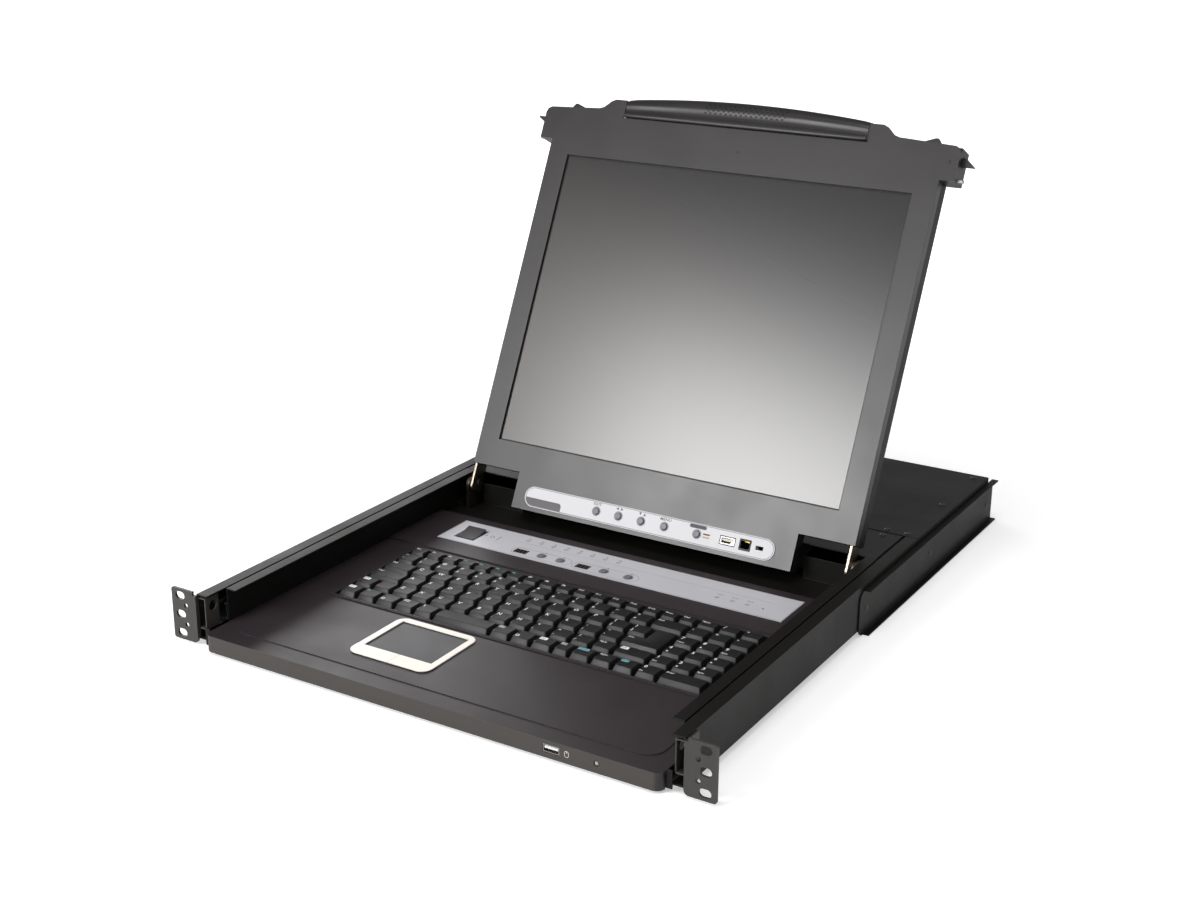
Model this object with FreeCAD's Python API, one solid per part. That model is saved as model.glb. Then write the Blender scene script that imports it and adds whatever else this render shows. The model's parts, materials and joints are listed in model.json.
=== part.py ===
import FreeCAD, Part
import math
import os
from FreeCAD import Vector

# Rack console drawer, one rack unit high, with a folding flat screen.
# X runs to the right, Y to the rear of the rack, Z up. The origin lies on the rear faces of the
# rack ears, midway between the ears and at half of their height. All sizes are millimetres.
# Bodies: the fixed chassis, the sliding drawer, the middle slide members, the folding screen, and
# the keys, buttons, rocker, switch and latches that travel on them.

os.makedirs("parts", exist_ok=True)

# ---------------------------------------------------------------- driving dimensions
sheet = 1.2                  # folded steel sheet of the chassis and tray
touch_gap = 0.3              # gap between neighbours that move past each other

# widths, from the flat panel outwards
screen_w = 337.9             # visible area of the five by four panel
screen_h = 270.3
panel_frame_x = 10.3         # frame of the panel module beside and above its visible area
panel_frame_y = 13.1
panel_side_room = 10.25      # from the panel module to the side of the bezel: room for the hinge arms
corner_out = 13.1            # how far a corner box stands out past the bezel
screen_clearance = 2.0       # from a corner box to the outer face of the tray
side_room = 11.8             # from the tray to the outer face of a side channel: room for the slides
panel_w = screen_w + 2 * panel_frame_x
panel_h = screen_h + 2 * panel_frame_y
bezel_half = panel_w / 2 + panel_side_room
corner_half = bezel_half + corner_out
tray_half = corner_half + screen_clearance
chassis_half = tray_half + side_room

# rack ears
ear_width = 24.9             # from a side channel to the end of its ear
ear_height = 43.2
ear_t = 2.0
ear_leg_depth = 15.0
ear_corner_r = 4.0
ear_slot_in = 16.15          # from a side channel to the centres of its ear's rack slots
ear_slot_pitch = 15.875      # rack unit hole pitch
ear_slot_len = 9.5
ear_slot_w = 6.6
ear_hole_r = 2.0
ear_hole_in = 10.6
ear_hole_z = 8.1
ear_relief = 3.0
ear_span = 2 * (chassis_half + ear_width)
ear_slot_span = 2 * (chassis_half + ear_slot_in)
ear_hole_x = chassis_half + ear_hole_in

# fixed side channels
chassis_top = 20.1
channel_bottom = -18.0
chassis_depth = 580.0
channel_flange = 10.3
channel_inner = chassis_half - channel_flange

# catch bracket behind each ear, which takes the ball pin of the closed screen
catch_gap = 3.7              # from the tray to the bracket's face
catch_depth = 15.0
catch_top = 17.2
catch_bottom = -9.2
catch_hole_r = 4.0
catch_ahead = 8.2            # bracket in front of and behind the hole's centre
catch_behind = 6.5
catch_face = tray_half + catch_gap

# slides
slide_front_gap = 2.0        # from the catch bracket to the fixed member
slide_rear = 575.0
slide_outer_half = 9.9
slide_t = 1.2
slide_middle_front = 222.0
slide_middle_rear = 540.0
slide_inner_rear = 560.0
slide_inner_t = 3.2
slide_raceway_depth = 5.8
slide_inner_out = tray_half + slide_inner_t

# rear case
case_clearance = 1.3         # from the tray's rear wall to the rear cover
case_gap = 3.2               # from the cover's front edge back to the case's front wall
case_inset = 13.4            # from a side channel's outer face to the case's side wall
case_half = chassis_half - case_inset
cover_lip = 8.0
rail_front = 284.0
rail_rear = 590.0
rail_top = 15.5
rail_bottom = -23.5
rail_out = 6.3               # how far the outside rail stands off the channel
rail_end_r = 9.0

# rear connectors
port_rows_z = (7.5, -7.5)
port_first_x = -150.0
port_pitch_x = 41.0
port_count = 4
port_w = 25.0
port_h = 8.4
port_out = 5.6
link_port_x = 32.0
link_port_w = 47.0
console_port_x = 76.0
usb_stack_x = 104.0
inlet_x = 168.0
inlet_w = 27.0
inlet_h = 19.6
inlet_depth = 16.0
board_t = 1.6
chips = ((45, 24.5, 28), (100, 34.5, 20), (155, 29.5, 34), (215, 34.5, 20), (270, 24.5, 24), (255, 84.5, 16))
chip_h = 2.0
board_post_r = 2.6
coil_in = 14.0               # power supply's transformer, from the board's left edge
coil_behind = 40.0           # and from its front edge
coil_w = 28.0
coil_d = 26.0
coil_h = 20.0
sink_in = 4.0                # heat sink, from the board's left edge
sink_behind = 16.0           # and from its front edge
sink_before = 20.0           # from the heat sink to the board's rear edge
sink_t = 4.0
sink_h = 22.0
capacitor_r = 6.0
capacitor_h = 21.0
capacitor_in = 10.0          # from the board's right edge
capacitor_behind = 18.0      # from the board's front edge
capacitor_pitch = 16.0

# drawer tray
tray_bottom = -20.4
tray_front = -1.0
tray_wall_front = 20.0
tray_behind = 66.2           # from the hinge axis back to the tray's rear face
tray_flange = 9.6
front_tab_out = 3.4
front_tab_top = -6.2

# palm rest and front lip
deck_gap = 0.4               # from the deck's side to the tray's wall
deck_top = -7.6
deck_t = 2.4
lip_front = -9.0
lip_bottom = -21.3
lip_corner_r = 7.0
palm_raise = 0.6
palm_side = 13.0             # from the deck's side to the raised area
palm_front = 8.0
palm_rear = 98.5
palm_corner_r = 14.0
deck_rear = 223.0
foot_r = 3.0
front_foot_x = (-180.0, -100.0, 0.0, 100.0, 180.0)
front_foot_y = 16.0
side_foot_in = 13.0          # from the deck's side to the feet beside the keyboard
side_foot_y = (90.0, 210.0)
usb_x = 116.5
usb_z = -14.0
usb_w = 13.1
usb_h = 5.7
usb_depth = 14.0
usb_wall = 0.4
usb_insert_side = 4.0        # moulding of the socket's insert at each side of its hole
led_hole_x = 153.0
led_hole_r = 1.9
deck_half = tray_half - sheet - deck_gap
palm_half = deck_half - palm_side
front_tab_half = tray_half + front_tab_out

# touch pad
pad_left = -91.0
pad_right = -16.0
pad_front = 25.5
pad_rear = 96.0
pad_rise = 1.0
pad_frame_t = 1.9
pad_corner_r = 9.0
pad_side_w = 6.0
pad_rear_w = 6.0
pad_button_depth = 15.5
pad_button_travel = 0.4
pad_module_t = 3.0
pad_pocket_in = 1.5          # how far the deck reaches under the pad's frame
pad_split = 2.3              # gap between the buttons, to the right of the pad's middle

# keyboard
key_pitch = 19.05
key_left = -165.2            # left edge of the left keys
key_front = 104.6            # front edge of the front row
key_top = -4.0
key_h = 6.4
key_gap = 1.3
key_inset = 1.7              # how far the side and rear bevels come in
key_front_inset = 4.0        # how far the front bevel comes in
key_travel = 2.5
function_depth = 15.2
main_units = 14.63           # width of the main block in key pitches
function_count = 17
pad_pitch = 19.2             # numeric block
stem = 5.0
stem_below = 2.0             # stem below the key plate at rest
plate_t = 1.2
base_rim = 3.0
base_rim_top = -6.4
base_margin = 0.9

# control deck with the silver strip
control_rear = 301.0
control_top = -6.4
strip_left = -167.0
strip_right = 167.5
strip_front = 246.0
strip_rear = 290.0
strip_t = 1.0
panel_button_y = 256.8
panel_button_x = (-64.7, -45.7, -2.4, 21.3)
panel_button_r = 3.3
panel_button_rise = 1.3
panel_button_h = 4.6
panel_button_travel = 0.8
display_x = (-85.5, -23.0)
display_w = 13.0
display_d = 8.6
rocker_x = -144.7
rocker_y = 265.9
rocker_w = 19.0
rocker_d = 22.0
rocker_housing = 1.2
rocker_tilt = 7.0
rocker_h = 5.0
rocker_pin_r = 1.2           # pivot at each side of the rocker
rocker_pin_len = 0.8
reset_x = 144.5
reset_y = 261.0
reset_r = 1.2
panel_board_z = -15.5

# hinge deck
hinge_y = 337.3              # screen hinge axis
hinge_z = 12.0
wall_behind = 5.2            # from the hinge axis back to the upright wall beside the trough
wall_top = 10.0
tongue_clearance = 2.0       # from the screen's tongue to the end of its trough
trough_behind = 22.7         # from the hinge axis back to the trough's rear wall
trough_floor = -10.2
cover_behind = 8.2           # from the hinge axis back to the hinge cover
block_gap = 0.5              # from the bezel's side to the hinge block
block_t = 3.0
block_half_depth = 11.0
block_top = 17.0
pin_r = 3.0
pin_clearance = 0.05
pin_tail = 0.8               # how far the hinge pin comes through the arm
hinge_cover_gap = 0.7
wall_y = hinge_y + wall_behind
trough_rear = hinge_y + trough_behind
hinge_cover_front = hinge_y + cover_behind
tray_rear = hinge_y + tray_behind
case_front = tray_rear + case_clearance
block_in = bezel_half + block_gap

# screen; u runs up the screen from the hinge axis, n out of its face from the hinge axis
lean = 25.8                  # backward lean of the open screen from the vertical
over_lean = 4.2              # how much further the screen leans at its stop
face_n = 11.35
lcd_t = 20.5
bezel_t = 2.6
bezel_wall = 2.0
bezel_side_wall = 1.4
bezel_depth = 9.0
bezel_bottom = 17.0
tongue_half = 139.0
tongue_bottom = -15.3
tongue_t = 14.0
panel_foot = 10.4            # from the bezel's lower wall to the panel module
panel_t = 9.0
panel_bottom = bezel_bottom + bezel_wall + panel_foot
screen_bottom = panel_bottom + panel_frame_y
lug_in = 50.0                # from the panel's edge to its fixing lugs
lug_w = 16.0
corner_above = 0.5           # from the panel module up to the corner's lower edge
corner_h = 29.6
shelf_rise = 3.0             # top edge between riser and corner, above the corner
riser_rise = 9.5             # riser beside the handle, above the shelf
corner_bottom = panel_bottom + panel_h + corner_above
corner_top = corner_bottom + corner_h
shelf_top = corner_top + shelf_rise
riser_top = shelf_top + riser_rise
riser_in = 119.6
riser_flat = 131.0
riser_out = 147.0
corner_r = 5.0
handle_half = 118.4
handle_below = 6.6           # from the shelf down to the handle's foot
handle_end_h = 19.0
handle_arch = 6.2            # how much higher the handle is in its middle
handle_bottom = shelf_top - handle_below
handle_end_top = handle_bottom + handle_end_h
handle_mid_top = handle_end_top + handle_arch
handle_front = 14.2          # n of the handle's front ridge
handle_back = -8.4
bracket_wall = 1.5
drop_h = 6.6                 # drop of the corner box beside the bezel
bracket_floor = corner_bottom + drop_h
roof_step = 3.4              # from the bezel's top edge down to the roof of the corner box
catch_pin_up = 2.4           # ball pin's centre above the corner's lower edge
catch_pin_n = 2.7
catch_pin_r = 1.9
catch_pin_in = 6.6           # from the corner's side to the pin's inner end
catch_pin_u = corner_bottom + catch_pin_up
catch_pin_tip = catch_face - touch_gap
catch_pin_root = corner_half - catch_pin_in
catch_y = hinge_y - catch_pin_u
catch_front = min(touch_gap, catch_y - catch_ahead)
catch_rear = max(catch_depth, catch_y + catch_behind)
slide_front = catch_rear + slide_front_gap
latch_travel = 5.0
hook_up_from_floor = 8.5
hook_h = 7.1
hook_bottom = bracket_floor + hook_up_from_floor
hook_top = hook_bottom + hook_h
hook_tip = chassis_half - sheet - 2 * touch_gap
hook_n = 1.6
latch_t = 3.0
tab_w = 18.5
tab_from_corner = 21.1       # from the corner's side to the tab
tab_slope_w = 5.0            # from the tab's outer side to its peak
tab_rise = 4.6
tab_out = corner_half - tab_from_corner
tab_in = tab_out - tab_w
tab_peak = tab_out - tab_slope_w
bracket_beside_tab = 17.0    # from the tab in to the corner box's inner side
bracket_in = tab_in - bracket_beside_tab
arm_t = 2.4
arm_bottom = -8.5
arm_top = 62.0
arm_front = 11.0
arm_back = -5.5
arm_in = bezel_half - bezel_side_wall - touch_gap - arm_t
trough_half = tongue_half + tongue_clearance

# boards inside the screen
screen_board_x = (-70.0, 60.0)
screen_board_up = 90.6       # from the panel module's foot up to the board
screen_board_h = 90.0
inverter_x = (-165.0, -95.0)
inverter_up = 60.6
inverter_h = 140.0
screen_part_in = 30.0        # from a board's edges to the tall parts on it
screen_part_gap = 0.4

# strip with the screen's own buttons
osd_left = -127.0
osd_right = 122.0
osd_mid = -2.2               # centre line of the strip: u
osd_h = 18.4
osd_t = 0.9
osd_button_x = (-51.8, -29.2, -6.4, 16.8)
power_button_x = 48.6
osd_button_r = 2.9
osd_button_rise = 1.5
osd_button_h = 5.0
osd_button_travel = 0.8
lcd_usb_x = 78.0
lcd_jack_x = 94.6
lcd_jack_w = 11.0
lcd_jack_h = 9.0
switch_x = 108.0
switch_w = 7.0
switch_h = 3.4
switch_knob = 2.4


# ---------------------------------------------------------------- helpers
def box(x0, x1, y0, y1, z0, z1):
    """Block between two corners."""
    return Part.makeBox(x1 - x0, y1 - y0, z1 - z0, Vector(x0, y0, z0))


def rod(r, start, end):
    """Round bar from one point to another."""
    line = end - start
    return Part.makeCylinder(r, line.Length, start, line)


def prism(points, direction):
    """Closed polygon pushed along a direction."""
    wire = Part.makePolygon(list(points) + [points[0]])
    return Part.Face(wire).extrude(direction)


def upright_edges(shape, axis):
    """Straight edges that run along one axis: 0, 1 or 2."""
    picked = []
    for edge in shape.Edges:
        span = edge.Vertexes[-1].Point - edge.Vertexes[0].Point
        if span.Length > 1e-6 and abs(abs(span[axis]) - span.Length) < 1e-6:
            picked.append(edge)
    return picked


def rounded(x0, x1, y0, y1, z0, z1, r, axis=2):
    """Block whose edges along one axis are rounded."""
    block = box(x0, x1, y0, y1, z0, z1)
    return block.makeFillet(r, upright_edges(block, axis))


def mirrored(shape):
    """The same shape on the other side of the centre plane."""
    return shape.mirror(Vector(0, 0, 0), Vector(1, 0, 0))


def both(shape):
    """Left and right copies as one group of separate solids."""
    return Part.makeCompound([shape, mirrored(shape)])


def on_screen(shape):
    """Turn a shape drawn flat as (x, u, n) into its place on the open screen."""
    placed = shape.copy()
    placed.rotate(Vector(0, 0, 0), Vector(1, 0, 0), 90.0 - lean)
    placed.translate(Vector(0, hinge_y, hinge_z))
    return placed


def slot(cx, cz, length, width, y0, y1):
    """Level slot with round ends through a plate that faces the front."""
    half = (length - width) / 2.0
    r = width / 2.0
    body = box(cx - half, cx + half, y0, y1, cz - r, cz + r)
    for side in (-half, half):
        body = body.fuse(rod(r, Vector(cx + side, y0, cz), Vector(cx + side, y1, cz)))
    return body


def save(name, shape):
    """Write one named piece."""
    shape = shape.removeSplitter() if shape.ShapeType != "Compound" else shape
    shape.exportStep("parts/" + name + ".step")
    print(name, "solids", len(shape.Solids), "valid", shape.isValid(), "volume", round(shape.Volume, 1))


# ---------------------------------------------------------------- chassis
def side_channel():
    """Right side channel: outer wall with flanges that turn in towards the tray."""
    seat = chassis_top - sheet
    wall = box(chassis_half - sheet, chassis_half, 0, chassis_depth, channel_bottom, seat)
    top = box(channel_inner, chassis_half, 0, case_front - touch_gap, seat, chassis_top)
    seat_flange = box(channel_inner, chassis_half, case_front, chassis_depth, seat - sheet, seat)
    foot = box(channel_inner, chassis_half, 0, chassis_depth, channel_bottom, channel_bottom + sheet)
    step = box(chassis_half - sheet, chassis_half, 0, case_front - touch_gap, seat - sheet, chassis_top)
    return wall.fuse([top, seat_flange, foot, step])


def rack_ear():
    """Right rack ear: slotted plate bent back along the channel, with a relief at the bend."""
    plate = box(chassis_half, ear_span / 2, -ear_t, 0, -ear_height / 2, ear_height / 2)
    corners = [e for e in upright_edges(plate, 1) if e.CenterOfMass.x > chassis_half + 1]
    plate = plate.makeFillet(ear_corner_r / 2, corners)
    inner = [e for e in upright_edges(plate, 1)
             if e.CenterOfMass.x < chassis_half + 1 and e.CenterOfMass.z < 0]
    plate = plate.makeFillet(ear_corner_r, inner)
    leg = box(chassis_half, chassis_half + ear_t, -ear_t, ear_leg_depth, channel_bottom, chassis_top - sheet)
    ear = plate.fuse(leg)
    for row in (-1, 0, 1):
        ear = ear.cut(slot(ear_slot_span / 2, row * ear_slot_pitch, ear_slot_len, ear_slot_w, -2 * ear_t,
                           ear_t))
    for side in (-1, 1):
        hole_z = side * ear_hole_z
        hole = rod(ear_hole_r, Vector(ear_hole_x, -2 * ear_t, hole_z), Vector(ear_hole_x, ear_t, hole_z))
        ear = ear.cut(hole)
    relief = box(chassis_half - 1, chassis_half + ear_relief, -2 * ear_t, ear_t,
                 ear_height / 2 - ear_relief, ear_height / 2 + 1)
    return ear.cut(relief)


def catch_bracket():
    """Right catch bracket: a channel on its side between the channel wall and the tray."""
    outer = chassis_half - sheet
    web = box(catch_face, catch_face + sheet, catch_front, catch_rear, catch_bottom, catch_top)
    top = box(catch_face, outer, catch_front, catch_rear, catch_top - sheet, catch_top)
    foot = box(catch_face, outer, catch_front, catch_rear, catch_bottom, catch_bottom + sheet)
    bracket = web.fuse([top, foot])
    hole_z = hinge_z - catch_pin_n
    hole = rod(catch_hole_r, Vector(catch_face - 1, catch_y, hole_z),
               Vector(catch_face + 2 * sheet, catch_y, hole_z))
    return bracket.cut(hole)


def slide_member(x_web, x_open, half, front, rear):
    """C section slide member that is open towards x_open."""
    direction = 1 if x_open > x_web else -1
    edges = sorted((x_web, x_web + direction * slide_t))
    lips = sorted((x_web, x_open))
    web = box(edges[0], edges[1], front, rear, -half, half)
    low = box(lips[0], lips[1], front, rear, -half, -half + slide_t)
    high = box(lips[0], lips[1], front, rear, half - slide_t, half)
    return web.fuse([low, high])


def slide_outer():
    wall = chassis_half - sheet
    return slide_member(wall, wall - slide_raceway_depth, slide_outer_half, slide_front, slide_rear)


def slide_middle_half():
    return slide_outer_half - slide_t - touch_gap


def slide_middle():
    """Middle member: runs between the lips of the fixed one and reaches round the drawer's one."""
    web = chassis_half - sheet - slide_t - touch_gap
    return slide_member(web, tray_half + 2 * touch_gap, slide_middle_half(), slide_middle_front,
                        slide_middle_rear)


def slide_inner():
    half = slide_middle_half() - slide_t - touch_gap
    return slide_member(tray_half, slide_inner_out, half, tray_wall_front, slide_inner_rear)


def rear_case():
    """Case for the electronics: floor, side walls, front wall and the connector panel."""
    front = case_front + case_gap
    seat = chassis_top - sheet
    floor = box(-channel_inner + 0.1, channel_inner - 0.1, front, chassis_depth,
                channel_bottom, channel_bottom + sheet)
    front_wall = box(-case_half, case_half, front, front + sheet, channel_bottom, seat)
    case = floor.fuse(front_wall)
    for side in (-1, 1):
        edges = sorted((side * case_half, side * (case_half - sheet)))
        case = case.fuse(box(edges[0], edges[1], front, chassis_depth, channel_bottom, seat))
    outer = chassis_half - sheet
    panel = box(-outer, outer, chassis_depth - sheet, chassis_depth, channel_bottom + sheet, seat - sheet)
    upper = box(-case_half, case_half, chassis_depth - sheet, chassis_depth, channel_bottom + sheet, seat)
    case = case.fuse([panel, upper])
    inlet = box(inlet_x - inlet_w / 2, inlet_x + inlet_w / 2, chassis_depth - 2 * sheet, chassis_depth + 1,
                -inlet_h / 2, inlet_h / 2)
    case = case.cut(inlet)
    for cx, cz, width in port_places():
        hole = box(cx - width / 2, cx + width / 2, chassis_depth - 2 * sheet, chassis_depth + 1,
                   cz - port_h / 2, cz + port_h / 2)
        case = case.cut(hole)
    stack = box(usb_stack_x - usb_w / 2, usb_stack_x + usb_w / 2, chassis_depth - 2 * sheet,
                chassis_depth + 1,
                -usb_h * 1.25, usb_h * 1.25)
    return case.cut(stack)


def port_places():
    """Centre and width of each D shaped connector on the rear panel."""
    places = []
    for cz in port_rows_z:
        for column in range(port_count):
            places.append((port_first_x + column * port_pitch_x, cz, port_w - 4.0))
    places.append((link_port_x, 0.0, link_port_w - 4.0))
    places.append((console_port_x, 0.0, port_w - 4.0))
    return places


def rear_cover():
    """Flat top cover with lips bent down at its front and rear."""
    top = box(-chassis_half, chassis_half, case_front, chassis_depth, chassis_top - sheet, chassis_top)
    inner = case_half - 2 * sheet
    lip_y = case_front + case_gap + sheet
    seat = chassis_top - sheet
    front = box(-inner, inner, lip_y, lip_y + sheet, seat - cover_lip, seat)
    rear_y = chassis_depth - sheet
    rear = box(-inner, inner, rear_y - sheet, rear_y, seat - cover_lip / 4, seat)
    return top.fuse([front, rear])


def rear_rail():
    """Right outside rail: a channel open outwards, rounded at its front end."""
    inner = chassis_half
    web = box(inner, inner + sheet, rail_front, rail_rear, rail_bottom, rail_top)
    web = web.makeFillet(rail_end_r, [e for e in upright_edges(web, 0) if e.CenterOfMass.y < rail_front + 1])
    lip_front = rail_front + rail_end_r
    top = box(inner, inner + rail_out, lip_front, rail_rear, rail_top - sheet, rail_top)
    foot = box(inner, inner + rail_out, lip_front, rail_rear, rail_bottom, rail_bottom + sheet)
    return web.fuse([top, foot])


def d_shell(cx, cz, width):
    """D shaped connector: flange, shell and the block of contacts inside the panel."""
    y = chassis_depth
    half = width / 2
    low = half - port_h * 0.18
    base = [Vector(cx - half, y, cz + port_h / 2), Vector(cx + half, y, cz + port_h / 2),
            Vector(cx + low, y, cz - port_h / 2), Vector(cx - low, y, cz - port_h / 2)]
    shell = prism(base, Vector(0, port_out, 0))
    shell = shell.makeFillet(1.2, upright_edges(shell, 1))
    flange = box(cx - half - 5.0, cx + half + 5.0, y, y + 0.8, cz - port_h / 2 - 1.6, cz + port_h / 2 + 1.6)
    inner = box(cx - low, cx + low, y - 9.0, y, cz - port_h / 2 + 0.4, cz + port_h / 2 - 0.4)
    body = shell.fuse([flange, inner])
    for side in (-1, 1):
        nut_x = cx + side * (half + 3.0)
        body = body.fuse(rod(1.9, Vector(nut_x, y, cz), Vector(nut_x, y + port_out - 1.0, cz)))
    return body


def rear_connectors():
    """Connectors on the rear panel: computer ports, link port, console port, sockets, power inlet."""
    pieces = [d_shell(cx, cz, width) for cx, cz, width in port_places()]
    y = chassis_depth
    for row in (-1, 1):
        pieces.append(usb_shell(usb_stack_x, row * usb_h * 0.62, y + 0.8, 1))
    frame = box(inlet_x - inlet_w / 2 - 4, inlet_x + inlet_w / 2 + 4, y, y + 1.6,
                -inlet_h / 2 - 2, inlet_h / 2 + 2)
    tub = box(inlet_x - inlet_w / 2 + 0.2, inlet_x + inlet_w / 2 - 0.2, y - inlet_depth - 1.5, y,
              -inlet_h / 2 + 0.2, inlet_h / 2 - 0.2)
    hollow = box(inlet_x - inlet_w / 2 + 2, inlet_x + inlet_w / 2 - 2, y - inlet_depth, y + 3,
                 -inlet_h / 2 + 2, inlet_h / 2 - 2)
    pieces.append(frame.fuse(tub).cut(hollow))
    return Part.makeCompound(pieces)


def usb_shell(cx, cz, mouth_y, direction):
    """Open metal shell of a flat socket whose mouth looks along direction in Y."""
    ends = sorted((mouth_y, mouth_y - direction * usb_depth))
    shell = box(cx - usb_w / 2, cx + usb_w / 2, ends[0], ends[1], cz - usb_h / 2, cz + usb_h / 2)
    ends = sorted((mouth_y + direction, mouth_y - direction * (usb_depth - 1.0)))
    hollow = box(cx - usb_w / 2 + usb_wall, cx + usb_w / 2 - usb_wall, ends[0], ends[1],
                 cz - usb_h / 2 + usb_wall, cz + usb_h / 2 - usb_wall)
    return shell.cut(hollow)


def main_board():
    """Switching board on posts, with its chips and the headers behind the ports."""
    front = case_front + case_gap + 8.0
    rear = chassis_depth - sheet - 10.5
    left = -case_half + 8.0
    right = usb_stack_x + 22.0
    z = channel_bottom + sheet + 4.0
    board = box(left, right, front, rear, z, z + board_t)
    for px in (left + 6, (left + right) / 2, right - 6):
        for py in (front + 6, rear - 6):
            board = board.fuse(rod(board_post_r, Vector(px, py, channel_bottom + sheet), Vector(px, py, z)))
    for right_by, behind, size in chips:
        cx = left + right_by
        cy = front + behind
        half = size / 2
        board = board.fuse(box(cx - half, cx + half, cy - half, cy + half, z + board_t, z + board_t + chip_h))
    return board


def power_supply():
    """Open frame power supply: board, transformer, capacitors and heat sink."""
    left = usb_stack_x + 28.0
    right = case_half - 6.0
    front = case_front + case_gap + 10.0
    rear = chassis_depth - inlet_depth - 8.0
    z = channel_bottom + sheet + 4.0
    unit = box(left, right, front, rear, z, z + board_t)
    for px in (left + 5, right - 5):
        for py in (front + 5, rear - 5):
            unit = unit.fuse(rod(board_post_r, Vector(px, py, channel_bottom + sheet), Vector(px, py, z)))
    top = z + board_t
    coil = box(left + coil_in, left + coil_in + coil_w, front + coil_behind, front + coil_behind + coil_d,
               top, top + coil_h)
    sink = box(left + sink_in, left + sink_in + sink_t, front + sink_behind, rear - sink_before,
               top, top + sink_h)
    unit = unit.fuse([coil, sink])
    for step in range(3):
        cx = right - capacitor_in
        cy = front + capacitor_behind + step * capacitor_pitch
        unit = unit.fuse(rod(capacitor_r, Vector(cx, cy, top), Vector(cx, cy, top + capacitor_h)))
    return unit


# ---------------------------------------------------------------- drawer
def tray_base():
    """Folded tray: floor, side walls with flanges on top, and a low front wall with end tabs."""
    floor = box(-tray_half, tray_half, tray_front - sheet, tray_rear, tray_bottom, tray_bottom + sheet)
    low_top = deck_top - deck_t - touch_gap
    front = box(-front_tab_half, front_tab_half, tray_front - sheet, tray_front, tray_bottom, low_top)
    tab = box(deck_half + touch_gap, front_tab_half, tray_front - sheet, tray_front, tray_bottom,
              front_tab_top)
    tray = floor.fuse([front, tab, mirrored(tab)])
    seat = chassis_top - sheet
    wall = box(tray_half - sheet, tray_half, tray_wall_front, tray_rear, tray_bottom, seat)
    flange = box(tray_half - tray_flange, tray_half, tray_wall_front, hinge_cover_front - touch_gap,
                 seat, chassis_top)
    side = wall.fuse(flange)
    low = box(tray_half - sheet, tray_half, tray_front - sheet, tray_wall_front, tray_bottom, low_top)
    side = side.fuse(low)
    tray = tray.fuse([side, mirrored(side)])
    rear = box(-tray_half, tray_half, tray_rear - sheet, tray_rear, tray_bottom, seat)
    tray = tray.fuse(rear)
    notch = box(usb_x - usb_w / 2 - 2 * touch_gap, usb_x + usb_w / 2 + 2 * touch_gap,
                tray_front - 2 * sheet, tray_front + sheet, tray_bottom + sheet, low_top + 1)
    return tray.cut(notch)


def usb_hole(gap):
    """Hole round the front socket through the lip."""
    return box(usb_x - usb_w / 2 - gap, usb_x + usb_w / 2 + gap, lip_front - 1, lip_front + usb_depth + 2,
               usb_z - usb_h / 2 - gap, usb_z + usb_h / 2 + gap)


def usb_insert_box(grow):
    """Part of the lip, open below, that a short insert fills."""
    half = usb_w / 2 + touch_gap + usb_insert_side
    return box(usb_x - half, usb_x + half, lip_front - grow, tray_front - sheet - touch_gap + grow,
               lip_bottom - grow, deck_top - deck_t)


def well_box(z0, z1, grow):
    """Space of the keyboard base, grown by a clearance."""
    return box(key_left - base_margin - base_rim - grow, keyboard_right() + base_margin + base_rim + grow,
               key_front - base_margin - base_rim - grow, keyboard_rear() + base_margin + base_rim + grow, z0, z1)


def keyboard_right():
    return key_left + main_units * key_pitch + 3 * pad_pitch


def keyboard_rear():
    return key_front + 5 * key_pitch + function_depth


def palm_rest():
    """Moulded deck with a raised palm area and a deep front lip, and the insert round its socket."""
    deck = box(-deck_half, deck_half, lip_front, deck_rear, lip_bottom, deck_top)
    deck = deck.makeFillet(lip_corner_r, [e for e in upright_edges(deck, 2) if e.CenterOfMass.y < 0])
    under = box(-deck_half - 1, deck_half + 1, tray_front - sheet - touch_gap, deck_rear + 1,
                lip_bottom - 1, deck_top - deck_t)
    deck = deck.cut(under)
    raised = rounded(-palm_half, palm_half, palm_front, palm_rear, deck_top - 0.5, deck_top + palm_raise,
                     palm_corner_r)
    deck = deck.fuse(raised)
    deck = deck.cut(well_box(lip_bottom - 1, 0, touch_gap))
    deck = deck.cut(usb_insert_box(1.0))
    insert = usb_insert_box(0).cut(usb_hole(touch_gap))
    lamp = rod(led_hole_r, Vector(led_hole_x, lip_front - 1, usb_z), Vector(led_hole_x, lip_front + 3, usb_z))
    deck = deck.cut(lamp)
    inset = pad_pocket_in
    pocket = rounded(pad_left + inset, pad_right - inset, pad_front + inset, pad_rear - inset,
                     deck_top - deck_t - 1, 0, pad_corner_r - inset)
    deck = deck.cut(pocket)
    for px in front_foot_x:
        foot = rod(foot_r, Vector(px, front_foot_y, tray_bottom + sheet),
                   Vector(px, front_foot_y, deck_top - deck_t))
        deck = deck.fuse(foot)
    for px in (side_foot_in - deck_half, deck_half - side_foot_in):
        for py in side_foot_y:
            foot = rod(foot_r, Vector(px, py, tray_bottom + sheet), Vector(px, py, deck_top - deck_t))
            deck = deck.fuse(foot)
    return Part.makeCompound([deck.removeSplitter(), insert])


def pad_outline(z0, z1):
    return rounded(pad_left, pad_right, pad_front, pad_rear, z0, z1, pad_corner_r)


def pad_top():
    return deck_top + palm_raise + pad_rise


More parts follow.
